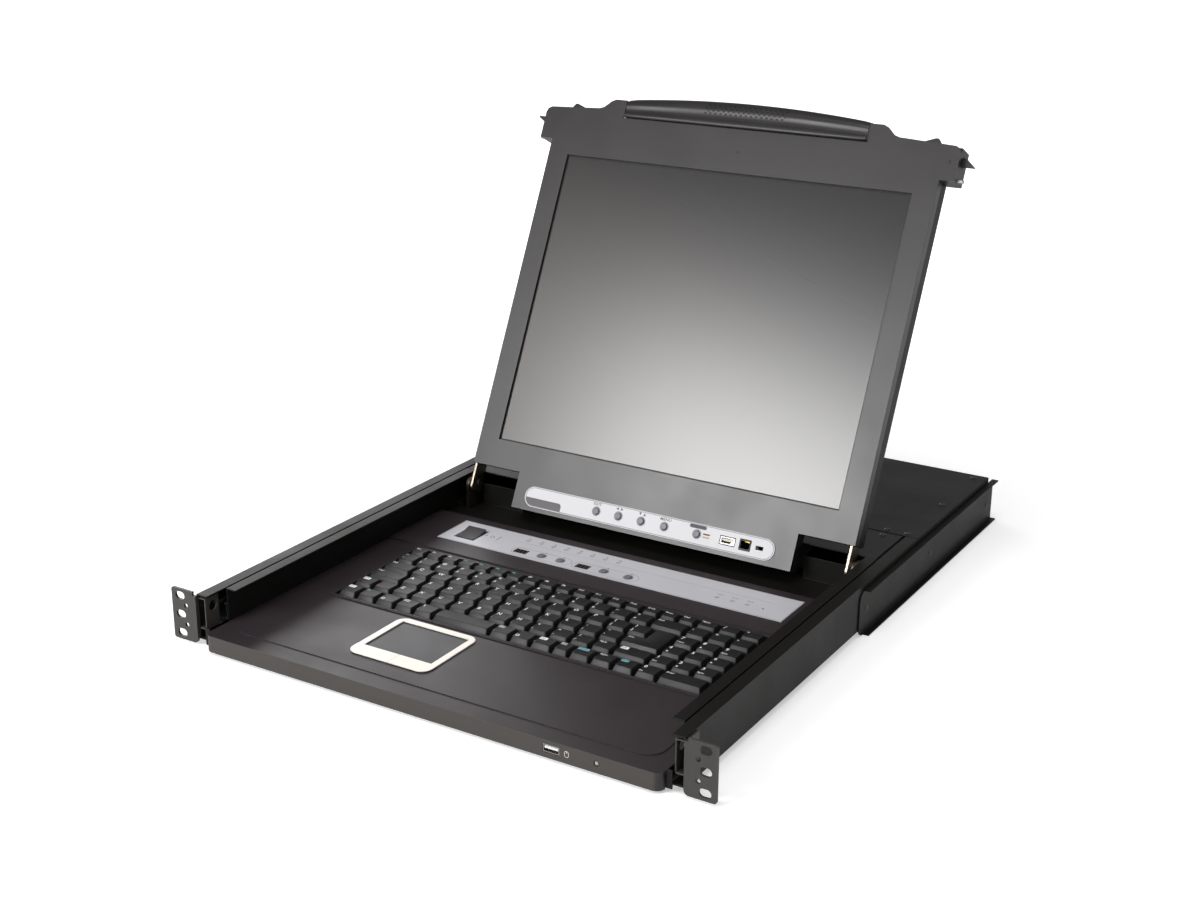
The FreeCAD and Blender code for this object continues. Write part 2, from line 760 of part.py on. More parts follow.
def touchpad_frame():
    """Frame on three sides of the pad; the two buttons close its front."""
    top = pad_top()
    ring = pad_outline(deck_top + palm_raise, top)
    low = deck_top + palm_raise - 1
    window = box(pad_left + pad_side_w, pad_right - pad_side_w, pad_front + pad_button_depth,
                 pad_rear - pad_rear_w, low, top + 1)
    front = box(pad_left - 1, pad_right + 1, pad_front - 1, pad_front + pad_button_depth, low, top + 1)
    return ring.cut(window).cut(front)


def touchpad_surface():
    """Pad module below the frame's window."""
    high = deck_top + palm_raise
    inset = pad_pocket_in + touch_gap
    module = box(pad_left + inset, pad_right - inset, pad_front + pad_button_depth + 1.0, pad_rear - inset,
                 high - pad_module_t, high)
    rear = [e for e in upright_edges(module, 2) if e.CenterOfMass.y > pad_rear - inset - 1]
    return module.makeFillet(pad_corner_r - pad_pocket_in, rear)


def touch_buttons():
    """Left and right pad buttons with rounded outer corners."""
    top = pad_top()
    bar = pad_outline(top - pad_frame_t, top)
    rear = box(pad_left - 1, pad_right + 1, pad_front + pad_button_depth - touch_gap, pad_rear + 1, -30, 30)
    bar = bar.cut(rear)
    cap_low = deck_top + palm_raise + pad_button_travel + 0.1
    inset = pad_pocket_in + touch_gap
    skirt = rounded(pad_left + inset, pad_right - inset, pad_front + inset, pad_rear,
                    top - pad_frame_t - 1, cap_low + 0.1, pad_corner_r - inset)
    cap = bar.common(box(pad_left, pad_right, pad_front, pad_rear, cap_low, 0))
    bar = bar.common(skirt).fuse(cap)
    mid = (pad_left + pad_right) / 2 + pad_split
    left = bar.common(box(pad_left - 1, mid - touch_gap / 2, pad_front - 1, pad_rear, -30, 30))
    right = bar.common(box(mid + touch_gap / 2, pad_right + 1, pad_front - 1, pad_rear, -30, 30))
    return left, right


def key_rows():
    """Keys of each row as (left edge, width), in millimetres from the left of the keyboard."""
    unit = key_pitch
    full = main_units * unit
    small = full / function_count
    rows = {
        "function": [(i * small, small) for i in range(function_count)],
        "number": spread([1] * 13 + [main_units - 13]),
        "upper": spread([1.5] + [1] * 12),
        "home": spread([1.75] + [1] * 11),
        "lower": spread([1] * 13 + [main_units - 13]),
        "bottom": spread([0.95, 1, 1, 1, 1]) + [(x * unit, w * unit) for x, w in bottom_right()],
    }
    for name in ("function", "number", "upper", "home", "lower"):
        rows[name] += [(full + i * pad_pitch, pad_pitch) for i in range(3)]
    rows["bottom"] += [(full, pad_pitch), (full + pad_pitch, 2 * pad_pitch)]
    return rows


def bottom_right():
    """Keys to the right of the space bar as (start, width) in key pitches."""
    start = space_start + space_units
    widths = (1.0, 1.0, 1.03, 0.8, 1.0, 1.0, 1.0)
    keys = []
    for width in widths:
        keys.append((start, width))
        start += width
    return keys


def spread(widths):
    """Key pitches in a row turned into (left edge, width)."""
    keys = []
    start = 0.0
    for width in widths:
        keys.append((start * key_pitch, width * key_pitch))
        start += width
    return keys


space_start = 4.95
space_units = 2.85


def key_cap(x, y, width, depth):
    """Tapered cap with a long front bevel, on a square stem that runs in the key plate."""
    low = key_top - key_h
    x0 = x + key_gap / 2
    x1 = x + width - key_gap / 2
    y0 = y + key_gap / 2
    y1 = y + depth - key_gap / 2
    foot = rectangle(x0, x1, y0, y1, low)
    crown = rectangle(x0 + key_inset, x1 - key_inset, y0 + key_front_inset, y1 - key_inset, key_top)
    cap = Part.makeLoft([foot, crown], True, True)
    cx, cy = stem_centre(x, y, width, depth)
    stalk = box(cx - stem / 2, cx + stem / 2, cy - stem / 2, cy + stem / 2,
                plate_top() - plate_t - stem_below, low)
    return cap.fuse(stalk)


def rectangle(x0, x1, y0, y1, z):
    return Part.makePolygon([Vector(x0, y0, z), Vector(x1, y0, z), Vector(x1, y1, z), Vector(x0, y1, z),
                             Vector(x0, y0, z)])


def stem_centre(x, y, width, depth):
    return x + width / 2, y + depth / 2


def plate_top():
    """Top of the key plate: a pressed key stops just above it."""
    return key_top - key_h - key_travel - touch_gap


def row_place(name):
    """Front edge and depth of a row."""
    order = ("bottom", "lower", "home", "upper", "number", "function")
    depth = function_depth if name == "function" else key_pitch
    return key_front + order.index(name) * key_pitch, depth


def enter_key():
    """Tall L shaped key that spans the home and upper rows."""
    y, depth = row_place("home")
    right = key_left + main_units * key_pitch
    left_low = key_left + 12.75 * key_pitch
    left_high = key_left + 13.5 * key_pitch
    gap = key_gap / 2
    levels = []
    for z, side, front in ((key_top - key_h, 0.0, 0.0), (key_top, key_inset, key_front_inset)):
        x0 = left_low + gap + side
        x2 = left_high + gap + side
        x1 = right - gap - side
        y0 = y + gap + front
        y1 = y + depth - gap - side
        y2 = y + 2 * depth - gap - side
        points = [Vector(x0, y0, z), Vector(x1, y0, z), Vector(x1, y2, z), Vector(x2, y2, z),
                  Vector(x2, y1, z), Vector(x0, y1, z), Vector(x0, y0, z)]
        levels.append(Part.makePolygon(points))
    cap = Part.makeLoft(levels, True, True)
    cx, cy = enter_stem()
    stalk = box(cx - stem / 2, cx + stem / 2, cy - stem / 2, cy + stem / 2,
                plate_top() - plate_t - stem_below, key_top - key_h)
    return cap.fuse(stalk)


def enter_stem():
    y, depth = row_place("home")
    return key_left + 13.9 * key_pitch, y + depth * 0.75


def key_row(name):
    """The keys of one row as separate solids."""
    y, depth = row_place(name)
    return Part.makeCompound([key_cap(key_left + x, y, width, depth) for x, width in key_rows()[name]])


def space_bar():
    y, depth = row_place("bottom")
    return key_cap(key_left + space_start * key_pitch, y, space_units * key_pitch, depth)


def keyboard_base():
    """Rim and key plate; each stem runs in its own square hole."""
    outer = well_box(tray_bottom + sheet, base_rim_top, 0)
    inner = well_box(tray_bottom, base_rim_top + 1, -base_rim)
    rim = outer.cut(inner)
    groove = box(key_left - base_margin - base_rim, keyboard_right() + base_margin + base_rim,
                 key_front - base_margin - base_rim * 0.72, key_front - base_margin - base_rim * 0.4,
                 base_rim_top - 1, base_rim_top + 1)
    rim = rim.cut(groove)
    top = plate_top()
    plate = well_box(top - plate_t, top, -base_rim + 0.5)
    holes = []
    half = stem / 2 + touch_gap
    for name, keys in key_rows().items():
        y, depth = row_place(name)
        for x, width in keys:
            holes.append(stem_centre(key_left + x, y, width, depth))
    y, depth = row_place("bottom")
    holes.append(stem_centre(key_left + space_start * key_pitch, y, space_units * key_pitch, depth))
    holes.append(enter_stem())
    cutters = [box(cx - half, cx + half, cy - half, cy + half, top - 2 * plate_t, top + plate_t)
               for cx, cy in holes]
    plate = plate.cut(Part.makeCompound(cutters))
    return rim.fuse(plate)


def control_deck():
    """Black deck behind the keyboard with the pocket for the silver strip."""
    front = deck_rear + touch_gap
    deck = box(-deck_half, deck_half, front, control_rear, control_top - deck_t, control_top)
    pocket = box(strip_left, strip_right, strip_front, strip_rear, control_top - strip_t + 0.4,
                 control_top + 1)
    deck = deck.cut(pocket)
    deck = deck.cut(panel_holes(control_top - 2 * deck_t, control_top + 1, touch_gap))
    for side in (-1, 1):
        for py in (front + 6, control_rear - 6):
            px = side * (deck_half - 6)
            foot = rod(foot_r, Vector(px, py, tray_bottom + sheet), Vector(px, py, control_top - deck_t))
            deck = deck.fuse(foot)
    skirt = box(-deck_half, deck_half, control_rear - 1.6, control_rear, trough_floor, control_top)
    return deck.fuse(skirt)


def strip_top():
    return control_top + 0.4


def panel_holes(z0, z1, gap):
    """Holes for the buttons, displays, rocker and reset through the strip and the deck."""
    cutters = []
    for cx in panel_button_x:
        cutters.append(rod(panel_button_r + gap, Vector(cx, panel_button_y, z0),
                           Vector(cx, panel_button_y, z1)))
    for cx in display_x:
        cutters.append(box(cx - display_w / 2, cx + display_w / 2, panel_button_y - display_d / 2,
                           panel_button_y + display_d / 2, z0, z1))
    half_w = rocker_w / 2 + rocker_housing
    half_d = rocker_d / 2 + rocker_housing
    cutters.append(box(rocker_x - half_w, rocker_x + half_w, rocker_y - half_d, rocker_y + half_d, z0, z1))
    cutters.append(rod(reset_r, Vector(reset_x, reset_y, z0), Vector(reset_x, reset_y, z1)))
    return Part.makeCompound(cutters)


def control_strip():
    """Silver strip let into the control deck."""
    top = strip_top()
    plate = box(strip_left, strip_right, strip_front, strip_rear, top - strip_t, top)
    return plate.cut(panel_holes(top - 2 * strip_t, top + 1, touch_gap))


def panel_button(cx):
    """Round button with a domed face and a collar below the strip."""
    top = strip_top() + panel_button_rise
    body = rod(panel_button_r, Vector(cx, panel_button_y, top - panel_button_h),
               Vector(cx, panel_button_y, top))
    rim = [e for e in body.Edges if abs(e.CenterOfMass.z - top) < 1e-6]
    body = body.makeFillet(0.6, rim)
    return body


def led_displays():
    """Two small digit displays whose faces lie just below the strip."""
    blocks = []
    for cx in display_x:
        blocks.append(box(cx - display_w / 2, cx + display_w / 2, panel_button_y - display_d / 2,
                          panel_button_y + display_d / 2, panel_board_z + board_t, strip_top() - 0.3))
    return Part.makeCompound(blocks)


def rocker_half():
    return rocker_d / 2 - 2 * touch_gap


def power_rocker():
    """Rocker whose two faces meet in a shallow valley, with its front half pressed down."""
    half = rocker_half()
    drop = half * math.tan(math.radians(rocker_tilt))
    top = strip_top() + 0.4
    x0 = rocker_x - rocker_w / 2 + touch_gap
    points = [Vector(x0, -half, top + drop), Vector(x0, 0, top), Vector(x0, half, top + drop),
              Vector(x0, half * 0.82, top - rocker_h), Vector(x0, -half * 0.82, top - rocker_h)]
    width = rocker_w - 2 * touch_gap
    cap = prism(points, Vector(width, 0, 0))
    pivot = rod(rocker_pin_r, Vector(x0 - rocker_pin_len, 0, rocker_pivot_z()),
                Vector(x0 + width + rocker_pin_len, 0, rocker_pivot_z()))
    cap = cap.fuse(pivot)
    cap.rotate(Vector(0, 0, rocker_pivot_z()), Vector(1, 0, 0), rocker_tilt)
    cap.translate(Vector(0, rocker_y, 0))
    return cap


def rocker_pivot_z():
    return strip_top() - rocker_h / 2


def panel_board():
    """Board below the control deck, with the rocker's housing and the button switches on it."""
    z = panel_board_z
    board = box(strip_left + 2, strip_right - 2, strip_front - 14, strip_rear - 4, z, z + board_t)
    for px in (strip_left + 8, 60.0, strip_right - 8):
        for py in (strip_front - 8, strip_rear - 10):
            board = board.fuse(rod(2.4, Vector(px, py, tray_bottom + sheet), Vector(px, py, z)))
    half_w = rocker_w / 2 + rocker_housing
    half_d = rocker_d / 2 + rocker_housing
    housing = box(rocker_x - half_w, rocker_x + half_w, rocker_y - half_d, rocker_y + half_d,
                  z + board_t, strip_top())
    housing = housing.cut(box(rocker_x - rocker_w / 2, rocker_x + rocker_w / 2, rocker_y - rocker_d / 2,
                              rocker_y + rocker_d / 2, z + board_t + 1, strip_top() + 1))
    seat = rod(rocker_pin_r + pin_clearance, Vector(rocker_x - half_w - 1, rocker_y, rocker_pivot_z()),
               Vector(rocker_x + half_w + 1, rocker_y, rocker_pivot_z()))
    board = board.fuse(housing.cut(seat))
    button_low = strip_top() + panel_button_rise - panel_button_h - panel_button_travel - touch_gap
    for cx in panel_button_x:
        board = board.fuse(box(cx - 3, cx + 3, panel_button_y - 3, panel_button_y + 3, z + board_t,
                               button_low))
    return board


def hinge_deck():
    """Bent sheet behind the control deck: trough for the screen's tongue and a wall at each side."""
    floor_low = trough_floor - sheet
    front = control_rear + touch_gap
    floor = box(-deck_half, deck_half, front, wall_y + sheet, floor_low, trough_floor)
    trough = box(-trough_half, trough_half, wall_y, trough_rear + sheet, floor_low, trough_floor)
    back = box(-trough_half, trough_half, trough_rear, trough_rear + sheet, floor_low,
               chassis_top - sheet)
    deck = floor.fuse([trough, back])
    wall = box(trough_half, arm_in - touch_gap, wall_y, wall_y + sheet, floor_low, wall_top)
    cheek = box(trough_half, trough_half + sheet, wall_y, trough_rear + sheet, floor_low, wall_top)
    notch = box(arm_in + arm_t, deck_half + 1, hinge_y - block_half_depth - 1, wall_y + 2 * sheet,
                floor_low - 1, trough_floor + 1)
    deck = deck.cut(notch).cut(mirrored(notch))
    side = wall.fuse(cheek)
    return deck.fuse([side, mirrored(side)])


def hinge_cover():
    """Plate over the rear of the drawer, with a lip bent down at its rear."""
    half = tray_half - hinge_cover_gap
    seat = chassis_top - sheet
    plate = box(-half, half, hinge_cover_front, tray_rear, seat, chassis_top)
    lip = box(-half + 2 * sheet, half - 2 * sheet, tray_rear - 2 * sheet, tray_rear - sheet, seat - cover_lip,
              seat)
    notch = box(arm_in - touch_gap, arm_in + arm_t + touch_gap, hinge_cover_front - 1,
                hinge_y + arm_sweep() + touch_gap, seat - 1, chassis_top + 1)
    return plate.fuse(lip).cut(notch).cut(mirrored(notch))


def arm_sweep():
    """How far behind the hinge axis an arm's rear edge reaches at the cover's top, leaning to its stop."""
    turn = math.radians(lean + over_lean)
    up = (chassis_top - hinge_z - arm_back * math.sin(turn)) / math.cos(turn)
    return up * math.sin(turn) - arm_back * math.cos(turn)


def hinge_block():
    """Right hinge block: upright plate on a foot, with the hinge pin and its head."""
    y0 = hinge_y - block_half_depth
    y1 = hinge_y + block_half_depth
    floor = tray_bottom + sheet
    plate = box(block_in, block_in + block_t, y0, y1, floor, block_top)
    top = [e for e in upright_edges(plate, 0) if e.CenterOfMass.z > block_top - 1]
    plate = plate.makeFillet(6.0, top)
    foot = box(block_in, tray_half - sheet, y0, y1, floor, floor + block_t / 2)
    brace = box(tray_half - 2 * sheet - block_t, tray_half - sheet, y0, y1, floor, floor + 14)
    pin = rod(pin_r, Vector(arm_in - pin_tail, hinge_y, hinge_z),
              Vector(block_in + block_t + 4, hinge_y, hinge_z))
    head = rod(pin_r + 1.6, Vector(block_in + block_t, hinge_y, hinge_z),
               Vector(block_in + block_t + 4, hinge_y, hinge_z))
    collar = rod(pin_r + 1.6, Vector(arm_in + arm_t + touch_gap, hinge_y, hinge_z),
                 Vector(block_in, hinge_y, hinge_z))
    return plate.fuse([foot, brace, pin, head, collar])


# ---------------------------------------------------------------- screen
def bezel_outline():
    """Half outline of the bezel's face from the tongue's foot round to the handle."""
    return [
        (0, tongue_bottom), (tongue_half, tongue_bottom), (tongue_half, bezel_bottom),
        (bezel_half, bezel_bottom), (bezel_half, corner_bottom), (corner_half, corner_bottom),
        (corner_half, corner_top - corner_r),
        (corner_half - corner_r * 0.3, corner_top - corner_r * 0.3),
        (corner_half - corner_r, corner_top + 0.4),
        (riser_out, shelf_top),
        (riser_out - (riser_out - riser_flat) * 0.3, shelf_top + (riser_top - shelf_top) * 0.16),
        (riser_out - (riser_out - riser_flat) * 0.72, shelf_top + (riser_top - shelf_top) * 0.8),
        (riser_flat, riser_top), (riser_in, riser_top), (riser_in, handle_bottom - touch_gap),
        (0, handle_bottom - touch_gap),
    ]


def screen_prism(points, n0, n1):
    """Outline in (x, u), mirrored about the centre line, between two depths."""
    right = [Vector(x, u, n0) for x, u in points]
    left = [Vector(-x, u, n0) for x, u in reversed(points) if x > 0]
    return prism(right + left, Vector(0, 0, n1 - n0))


def bezel():
    """Front frame of the screen with the window, the tongue below and the risers above."""
    low = face_n - bezel_t
    plate = screen_prism(bezel_outline(), low, face_n)
    window = box(-screen_w / 2, screen_w / 2, screen_bottom, screen_bottom + screen_h, low - 1, face_n + 1)
    shell = plate.cut(window)
    rim_low = face_n - bezel_depth
    side = box(bezel_half - bezel_side_wall, bezel_half, bezel_bottom, corner_bottom, rim_low, low)
    foot = box(tongue_half, bezel_half, bezel_bottom, bezel_bottom + bezel_wall, rim_low, low)
    foot = foot.cut(arm_space(rim_low - 1, low))
    shell = shell.fuse([side, mirrored(side), foot, mirrored(foot)])
    tongue_low = face_n - tongue_t
    tub = box(-tongue_half, tongue_half, tongue_bottom, bezel_bottom + bezel_wall, tongue_low, low)
    hollow = box(-tongue_half + bezel_wall, tongue_half - bezel_wall, tongue_bottom + bezel_wall,
                 bezel_bottom + bezel_wall + 1, tongue_low + bezel_wall, low + 1)
    shell = shell.fuse(tub.cut(hollow))
    shell = shell.cut(osd_holes(low - 1, face_n + 1))
    return shell


def arm_space(n0, n1):
    """Clearance round the right hinge arm where it enters the screen."""
    return box(arm_in - touch_gap, arm_in + arm_t + touch_gap, bezel_bottom - 1,
               bezel_bottom + bezel_wall + 1, n0, n1)


def osd_holes(n0, n1):
    """Holes for the buttons, sockets and switch through the strip and the bezel."""
    cutters = []
    for cx in osd_button_x + (power_button_x,):
        cutters.append(rod(osd_button_r + touch_gap, Vector(cx, osd_mid, n0), Vector(cx, osd_mid, n1)))
    cutters.append(box(lcd_usb_x - usb_w / 2, lcd_usb_x + usb_w / 2, osd_mid - usb_h / 2, osd_mid + usb_h / 2,
                       n0, n1))
    cutters.append(box(lcd_jack_x - lcd_jack_w / 2, lcd_jack_x + lcd_jack_w / 2,
                       osd_mid - lcd_jack_h / 2, osd_mid + lcd_jack_h / 2, n0, n1))
    cutters.append(box(switch_x - switch_w / 2, switch_x + switch_w / 2,
                       osd_mid - switch_h / 2, osd_mid + switch_h / 2, n0, n1))
    return Part.makeCompound(cutters)


def osd_strip():
    """White strip with rounded ends on the tongue."""
    plate = rounded(osd_left, osd_right, osd_mid - osd_h / 2, osd_mid + osd_h / 2,
                    face_n, face_n + osd_t, osd_h / 2.02)
    return plate.cut(osd_holes(face_n - 1, face_n + osd_t + 1))


def osd_button(cx):
    top = face_n + osd_t + osd_button_rise
    body = rod(osd_button_r, Vector(cx, osd_mid, top - osd_button_h), Vector(cx, osd_mid, top))
    rim = [e for e in body.Edges if abs(e.CenterOfMass.z - top) < 1e-6]
    return body.makeFillet(0.6, rim)


def lcd_sockets():
    """Flat socket and square jack that open through the strip."""
    top = face_n + osd_t
    low = face_n - tongue_t + bezel_wall
    flat = box(lcd_usb_x - usb_w / 2, lcd_usb_x + usb_w / 2, osd_mid - usb_h / 2, osd_mid + usb_h / 2, low,
               top)
    flat = flat.cut(box(lcd_usb_x - usb_w / 2 + usb_wall, lcd_usb_x + usb_w / 2 - usb_wall,
                        osd_mid - usb_h / 2 + usb_wall, osd_mid + usb_h / 2 - usb_wall, low + 1, top + 1))
    jack = box(lcd_jack_x - lcd_jack_w / 2, lcd_jack_x + lcd_jack_w / 2,
               osd_mid - lcd_jack_h / 2, osd_mid + lcd_jack_h / 2, low, top)
    jack = jack.cut(box(lcd_jack_x - lcd_jack_w / 2 + 1, lcd_jack_x + lcd_jack_w / 2 - 1,
                        osd_mid - lcd_jack_h / 2 + 1, osd_mid + lcd_jack_h / 2 - 1, low + 1, top + 1))
    return Part.makeCompound([flat, jack])


def firmware_switch():
    """Small slide switch knob in its slot."""
    top = face_n + osd_t + 0.4
    left = switch_x - switch_w / 2 + touch_gap
    return box(left, left + switch_knob, osd_mid - switch_h / 2 + touch_gap,
               osd_mid + switch_h / 2 - touch_gap, face_n - 3.0, top)


def back_cover():
    """Rear shell of the screen: pan with walls, raised field, and feet for the panel."""
    back = face_n - lcd_t
    rim = face_n - bezel_depth
    top = bracket_floor - touch_gap
    outer = box(-bezel_half, bezel_half, bezel_bottom, top, back, rim)
    edges = [e for e in upright_edges(outer, 0) if e.CenterOfMass.z < back + 1]
    outer = outer.makeChamfer(1.5, edges)
    inner_half = bezel_half - bezel_side_wall
    hollow = box(-inner_half, inner_half, bezel_bottom + bezel_wall, top - bezel_wall, back + bezel_wall,
                 rim + 1)
    notch = arm_space(arm_back - touch_gap, rim + 1)
    tongue = box(-tongue_half - touch_gap, tongue_half + touch_gap, bezel_bottom - 1,
                 bezel_bottom + bezel_wall + touch_gap, face_n - tongue_t - touch_gap, rim + 1)
    return outer.cut(hollow).cut(tongue).cut(notch).cut(mirrored(notch))


def lcd_panel():
    """Panel module behind the bezel's window."""
    high = face_n - bezel_t
    u0 = panel_bottom
    module = box(-panel_w / 2, panel_w / 2, u0, u0 + panel_h, high - panel_t, high)
    lug = box(panel_w / 2, bezel_half - bezel_side_wall - touch_gap, u0 + lug_in, u0 + lug_in + lug_w,
              high - panel_t, high - panel_t + 2)
    upper = lug.copy()
    upper.translate(Vector(0, panel_h - 2 * lug_in - lug_w, 0))
    return module.fuse([lug, upper, mirrored(lug), mirrored(upper)])


def lcd_boards():
    """Screen controller, backlight supply and button board."""
    back = face_n - lcd_t + bezel_wall
    high = face_n - bezel_t - panel_t
    pieces = []
    for sides, up, height in ((screen_board_x, screen_board_up, screen_board_h),
                              (inverter_x, inverter_up, inverter_h)):
        low = panel_bottom + up
        board = box(sides[0], sides[1], low, low + height, back, back + board_t)
        tall = box(sides[0] + screen_part_in, sides[1] - screen_part_in, low + screen_part_in,
                   low + height - screen_part_in, back + board_t, high - screen_part_gap)
        pieces.append(board.fuse(tall))
    low = face_n - tongue_t + bezel_wall
    buttons = box(osd_button_x[0] - 12, lcd_usb_x - usb_w / 2 - 4, tongue_bottom + 5, bezel_bottom - 4,
                  low, low + board_t)
    return Part.makeCompound(pieces + [buttons])


def handle_section(x, top):
    """Closed outline of the handle at one place along it: round ridge, finger groove, lower lip."""
    u0 = handle_bottom
    h = top - u0
    n1 = handle_front
    n0 = handle_back
    points = [
        (n0, u0), (n1 - 1.2, u0), (n1, u0 + 1.2), (n1, u0 + h * 0.17), (n1 - 1.6, u0 + h * 0.27),
        (n1 - 1.9, u0 + h * 0.42), (n1 - 0.9, u0 + h * 0.6), (n1 - 2.4, u0 + h * 0.8),
        (n1 - 6.0, u0 + h * 0.95), (n1 - 11.0, u0 + h), (n0 + 4.0, u0 + h * 0.97), (n0, u0 + h * 0.8),
    ]
    corners = [Vector(x, u, n) for n, u in points]
    return Part.makePolygon(corners + [corners[0]])


def handle_bar():
    """Arched grip between the risers, fixed through a block behind the bezel."""
    sections = []
    for step in range(-4, 5):
        x = handle_half * step / 4.0
        rise = 1.0 - (step / 4.0) ** 2
        sections.append(handle_section(x, handle_end_top + (handle_mid_top - handle_end_top) * rise))
    grip = Part.makeLoft(sections, True, True)
    block = box(-bracket_in + touch_gap, bracket_in - touch_gap, bracket_floor + touch_gap,
                handle_bottom, handle_back, face_n - bezel_t)
    return grip.fuse(block)


def corner_bracket():
    """Right corner box behind the bezel: back, side, roof and floor, with its ball pin."""
    back = face_n - lcd_t
    high = face_n - bezel_t
    t = bracket_wall
    roof = shelf_top - roof_step
    outer = box(bracket_in, corner_half, bracket_floor, roof, back, high)
    drop = box(bezel_half + touch_gap, corner_half, corner_bottom, bracket_floor, back, high)
    outer = outer.fuse(drop)
    hollow = box(bracket_in + t, corner_half - t, bracket_floor + t, roof - t, back + t, high + 1)
    low = box(bezel_half + touch_gap + t, corner_half - t, corner_bottom + t, bracket_floor + t + 1,
              back + t, high + 1)
    shell = outer.cut(hollow).cut(low)
    window = box(corner_half - 2 * t, corner_half + 1, hook_bottom - latch_travel * 0.2, hook_top + 1,
                 hook_n - latch_t / 2 - touch_gap, hook_n + latch_t / 2 + touch_gap)
    slit = box(tab_in - latch_travel - touch_gap, tab_out + touch_gap, roof - 2 * t, roof + 1,
               hook_n - latch_t / 2 - touch_gap, hook_n + latch_t / 2 + touch_gap)
    shell = shell.cut(window).cut(slit)
    pin = rod(catch_pin_r, Vector(catch_pin_root, catch_pin_u, catch_pin_n),
              Vector(catch_pin_tip - catch_pin_r, catch_pin_u, catch_pin_n))
    ball = Part.makeSphere(catch_pin_r, Vector(catch_pin_tip - catch_pin_r, catch_pin_u, catch_pin_n))
    return shell.fuse(pin.fuse(ball))


def latch(hook_points):
    """Right latch: finger tab, bar behind the bezel, and the hook that comes out at the side."""
    n0 = hook_n - latch_t / 2
    tab_top = shelf_top + tab_rise
    tab = [Vector(tab_in, hook_bottom, n0), Vector(tab_out, hook_bottom, n0), Vector(tab_out, shelf_top, n0),
           Vector(tab_peak + 1.5, tab_top, n0), Vector(tab_peak - 1.0, tab_top, n0),
           Vector(tab_in, shelf_top, n0)]
    body = prism(tab, Vector(0, 0, latch_t))
    bar = box(tab_in, corner_half - 4, hook_bottom, hook_top, n0, n0 + latch_t)
    hook = prism([Vector(x, u, n0) for x, u in hook_points], Vector(0, 0, latch_t))
    return body.fuse([bar, hook])


def hook_down():
    """Hook with its slope on the upper side."""
    root = corner_half - 5
    return [(root, hook_bottom), (hook_tip, hook_bottom), (corner_half + 3.4, hook_top), (root, hook_top)]


def hook_up():
    """Hook with its slope on the lower side."""
    root = corner_half - 5
    return [(root, hook_bottom), (corner_half + 2.0, hook_bottom), (hook_tip, hook_top - 1.2),
            (hook_tip, hook_top), (root, hook_top)]


def hinge_arm():
    """Right hinge arm: steel plate that turns on the hinge pin and runs up into the screen."""
    plate = box(arm_in, arm_in + arm_t, arm_bottom, arm_top, arm_back, arm_front)
    low = [e for e in upright_edges(plate, 0) if e.CenterOfMass.y < arm_bottom + 1]
    plate = plate.makeFillet(4.0, low)
    inside = box(arm_in - 1, arm_in + arm_t + 1, bezel_bottom - 0.1, arm_top + 1,
                 face_n - bezel_t - touch_gap, arm_front + 1)
    plate = plate.cut(inside)
    eye = rod(pin_r + pin_clearance, Vector(arm_in - 1, 0, 0), Vector(arm_in + arm_t + 1, 0, 0))
    return plate.cut(eye)


# ---------------------------------------------------------------- write the pieces
def write_chassis():
    right = side_channel()
    save("side_channel_right", right)
    save("side_channel_left", mirrored(right))
    ear = rack_ear()
    save("rack_ear_right", ear)
    save("rack_ear_left", mirrored(ear))
    save("catch_brackets", both(catch_bracket()))
    save("slide_outer", both(slide_outer()))
    save("slide_middle", both(slide_middle()))
    save("rear_rails", both(rear_rail()))
    save("rear_case", rear_case())
    save("rear_cover", rear_cover())
    save("rear_connectors", rear_connectors())
    save("main_board", main_board())
    save("power_supply", power_supply())


def write_drawer():
    save("tray_base", tray_base())
    save("slide_inner", both(slide_inner()))
    save("palm_rest", palm_rest())
    save("front_usb_socket", usb_shell(usb_x, usb_z, lip_front + 0.4, -1))
    save("touchpad_frame", touchpad_frame())
    save("touchpad_surface", touchpad_surface())
    left, right = touch_buttons()
    save("touch_button_left", left)
    save("touch_button_right", right)
    save("keyboard_base", keyboard_base())
    for name in key_rows():
        save("key_row_" + name, key_row(name))
    save("enter_key", enter_key())
    save("space_bar", space_bar())
    save("control_deck", control_deck())
    save("control_strip", control_strip())
    save("led_displays", led_displays())
    save("panel_board", panel_board())
    for index, cx in enumerate(panel_button_x):
        save("panel_button_%d" % (index + 1), panel_button(cx))
    save("power_rocker", power_rocker())
    save("hinge_deck", hinge_deck())
    save("hinge_cover", hinge_cover())
    save("hinge_blocks", both(hinge_block()))


def write_screen():
    save("lcd_bezel", on_screen(bezel()))
    save("lcd_back_cover", on_screen(back_cover()))
    save("lcd_panel", on_screen(lcd_panel()))
    save("lcd_boards", on_screen(lcd_boards()))
    save("osd_strip", on_screen(osd_strip()))
    for index, cx in enumerate(osd_button_x):
        save("osd_button_%d" % (index + 1), on_screen(osd_button(cx)))
    save("lcd_power_button", on_screen(osd_button(power_button_x)))
    save("lcd_sockets", on_screen(lcd_sockets()))
    save("firmware_switch", on_screen(firmware_switch()))
    save("handle_bar", on_screen(handle_bar()))
    bracket = corner_bracket()
    save("corner_bracket_right", on_screen(bracket))
    save("corner_bracket_left", on_screen(mirrored(bracket)))
    save("latch_right", on_screen(latch(hook_down())))
    save("latch_left", on_screen(mirrored(latch(hook_up()))))
    save("hinge_arms", on_screen(both(hinge_arm())))


write_chassis()
write_drawer()
write_screen()
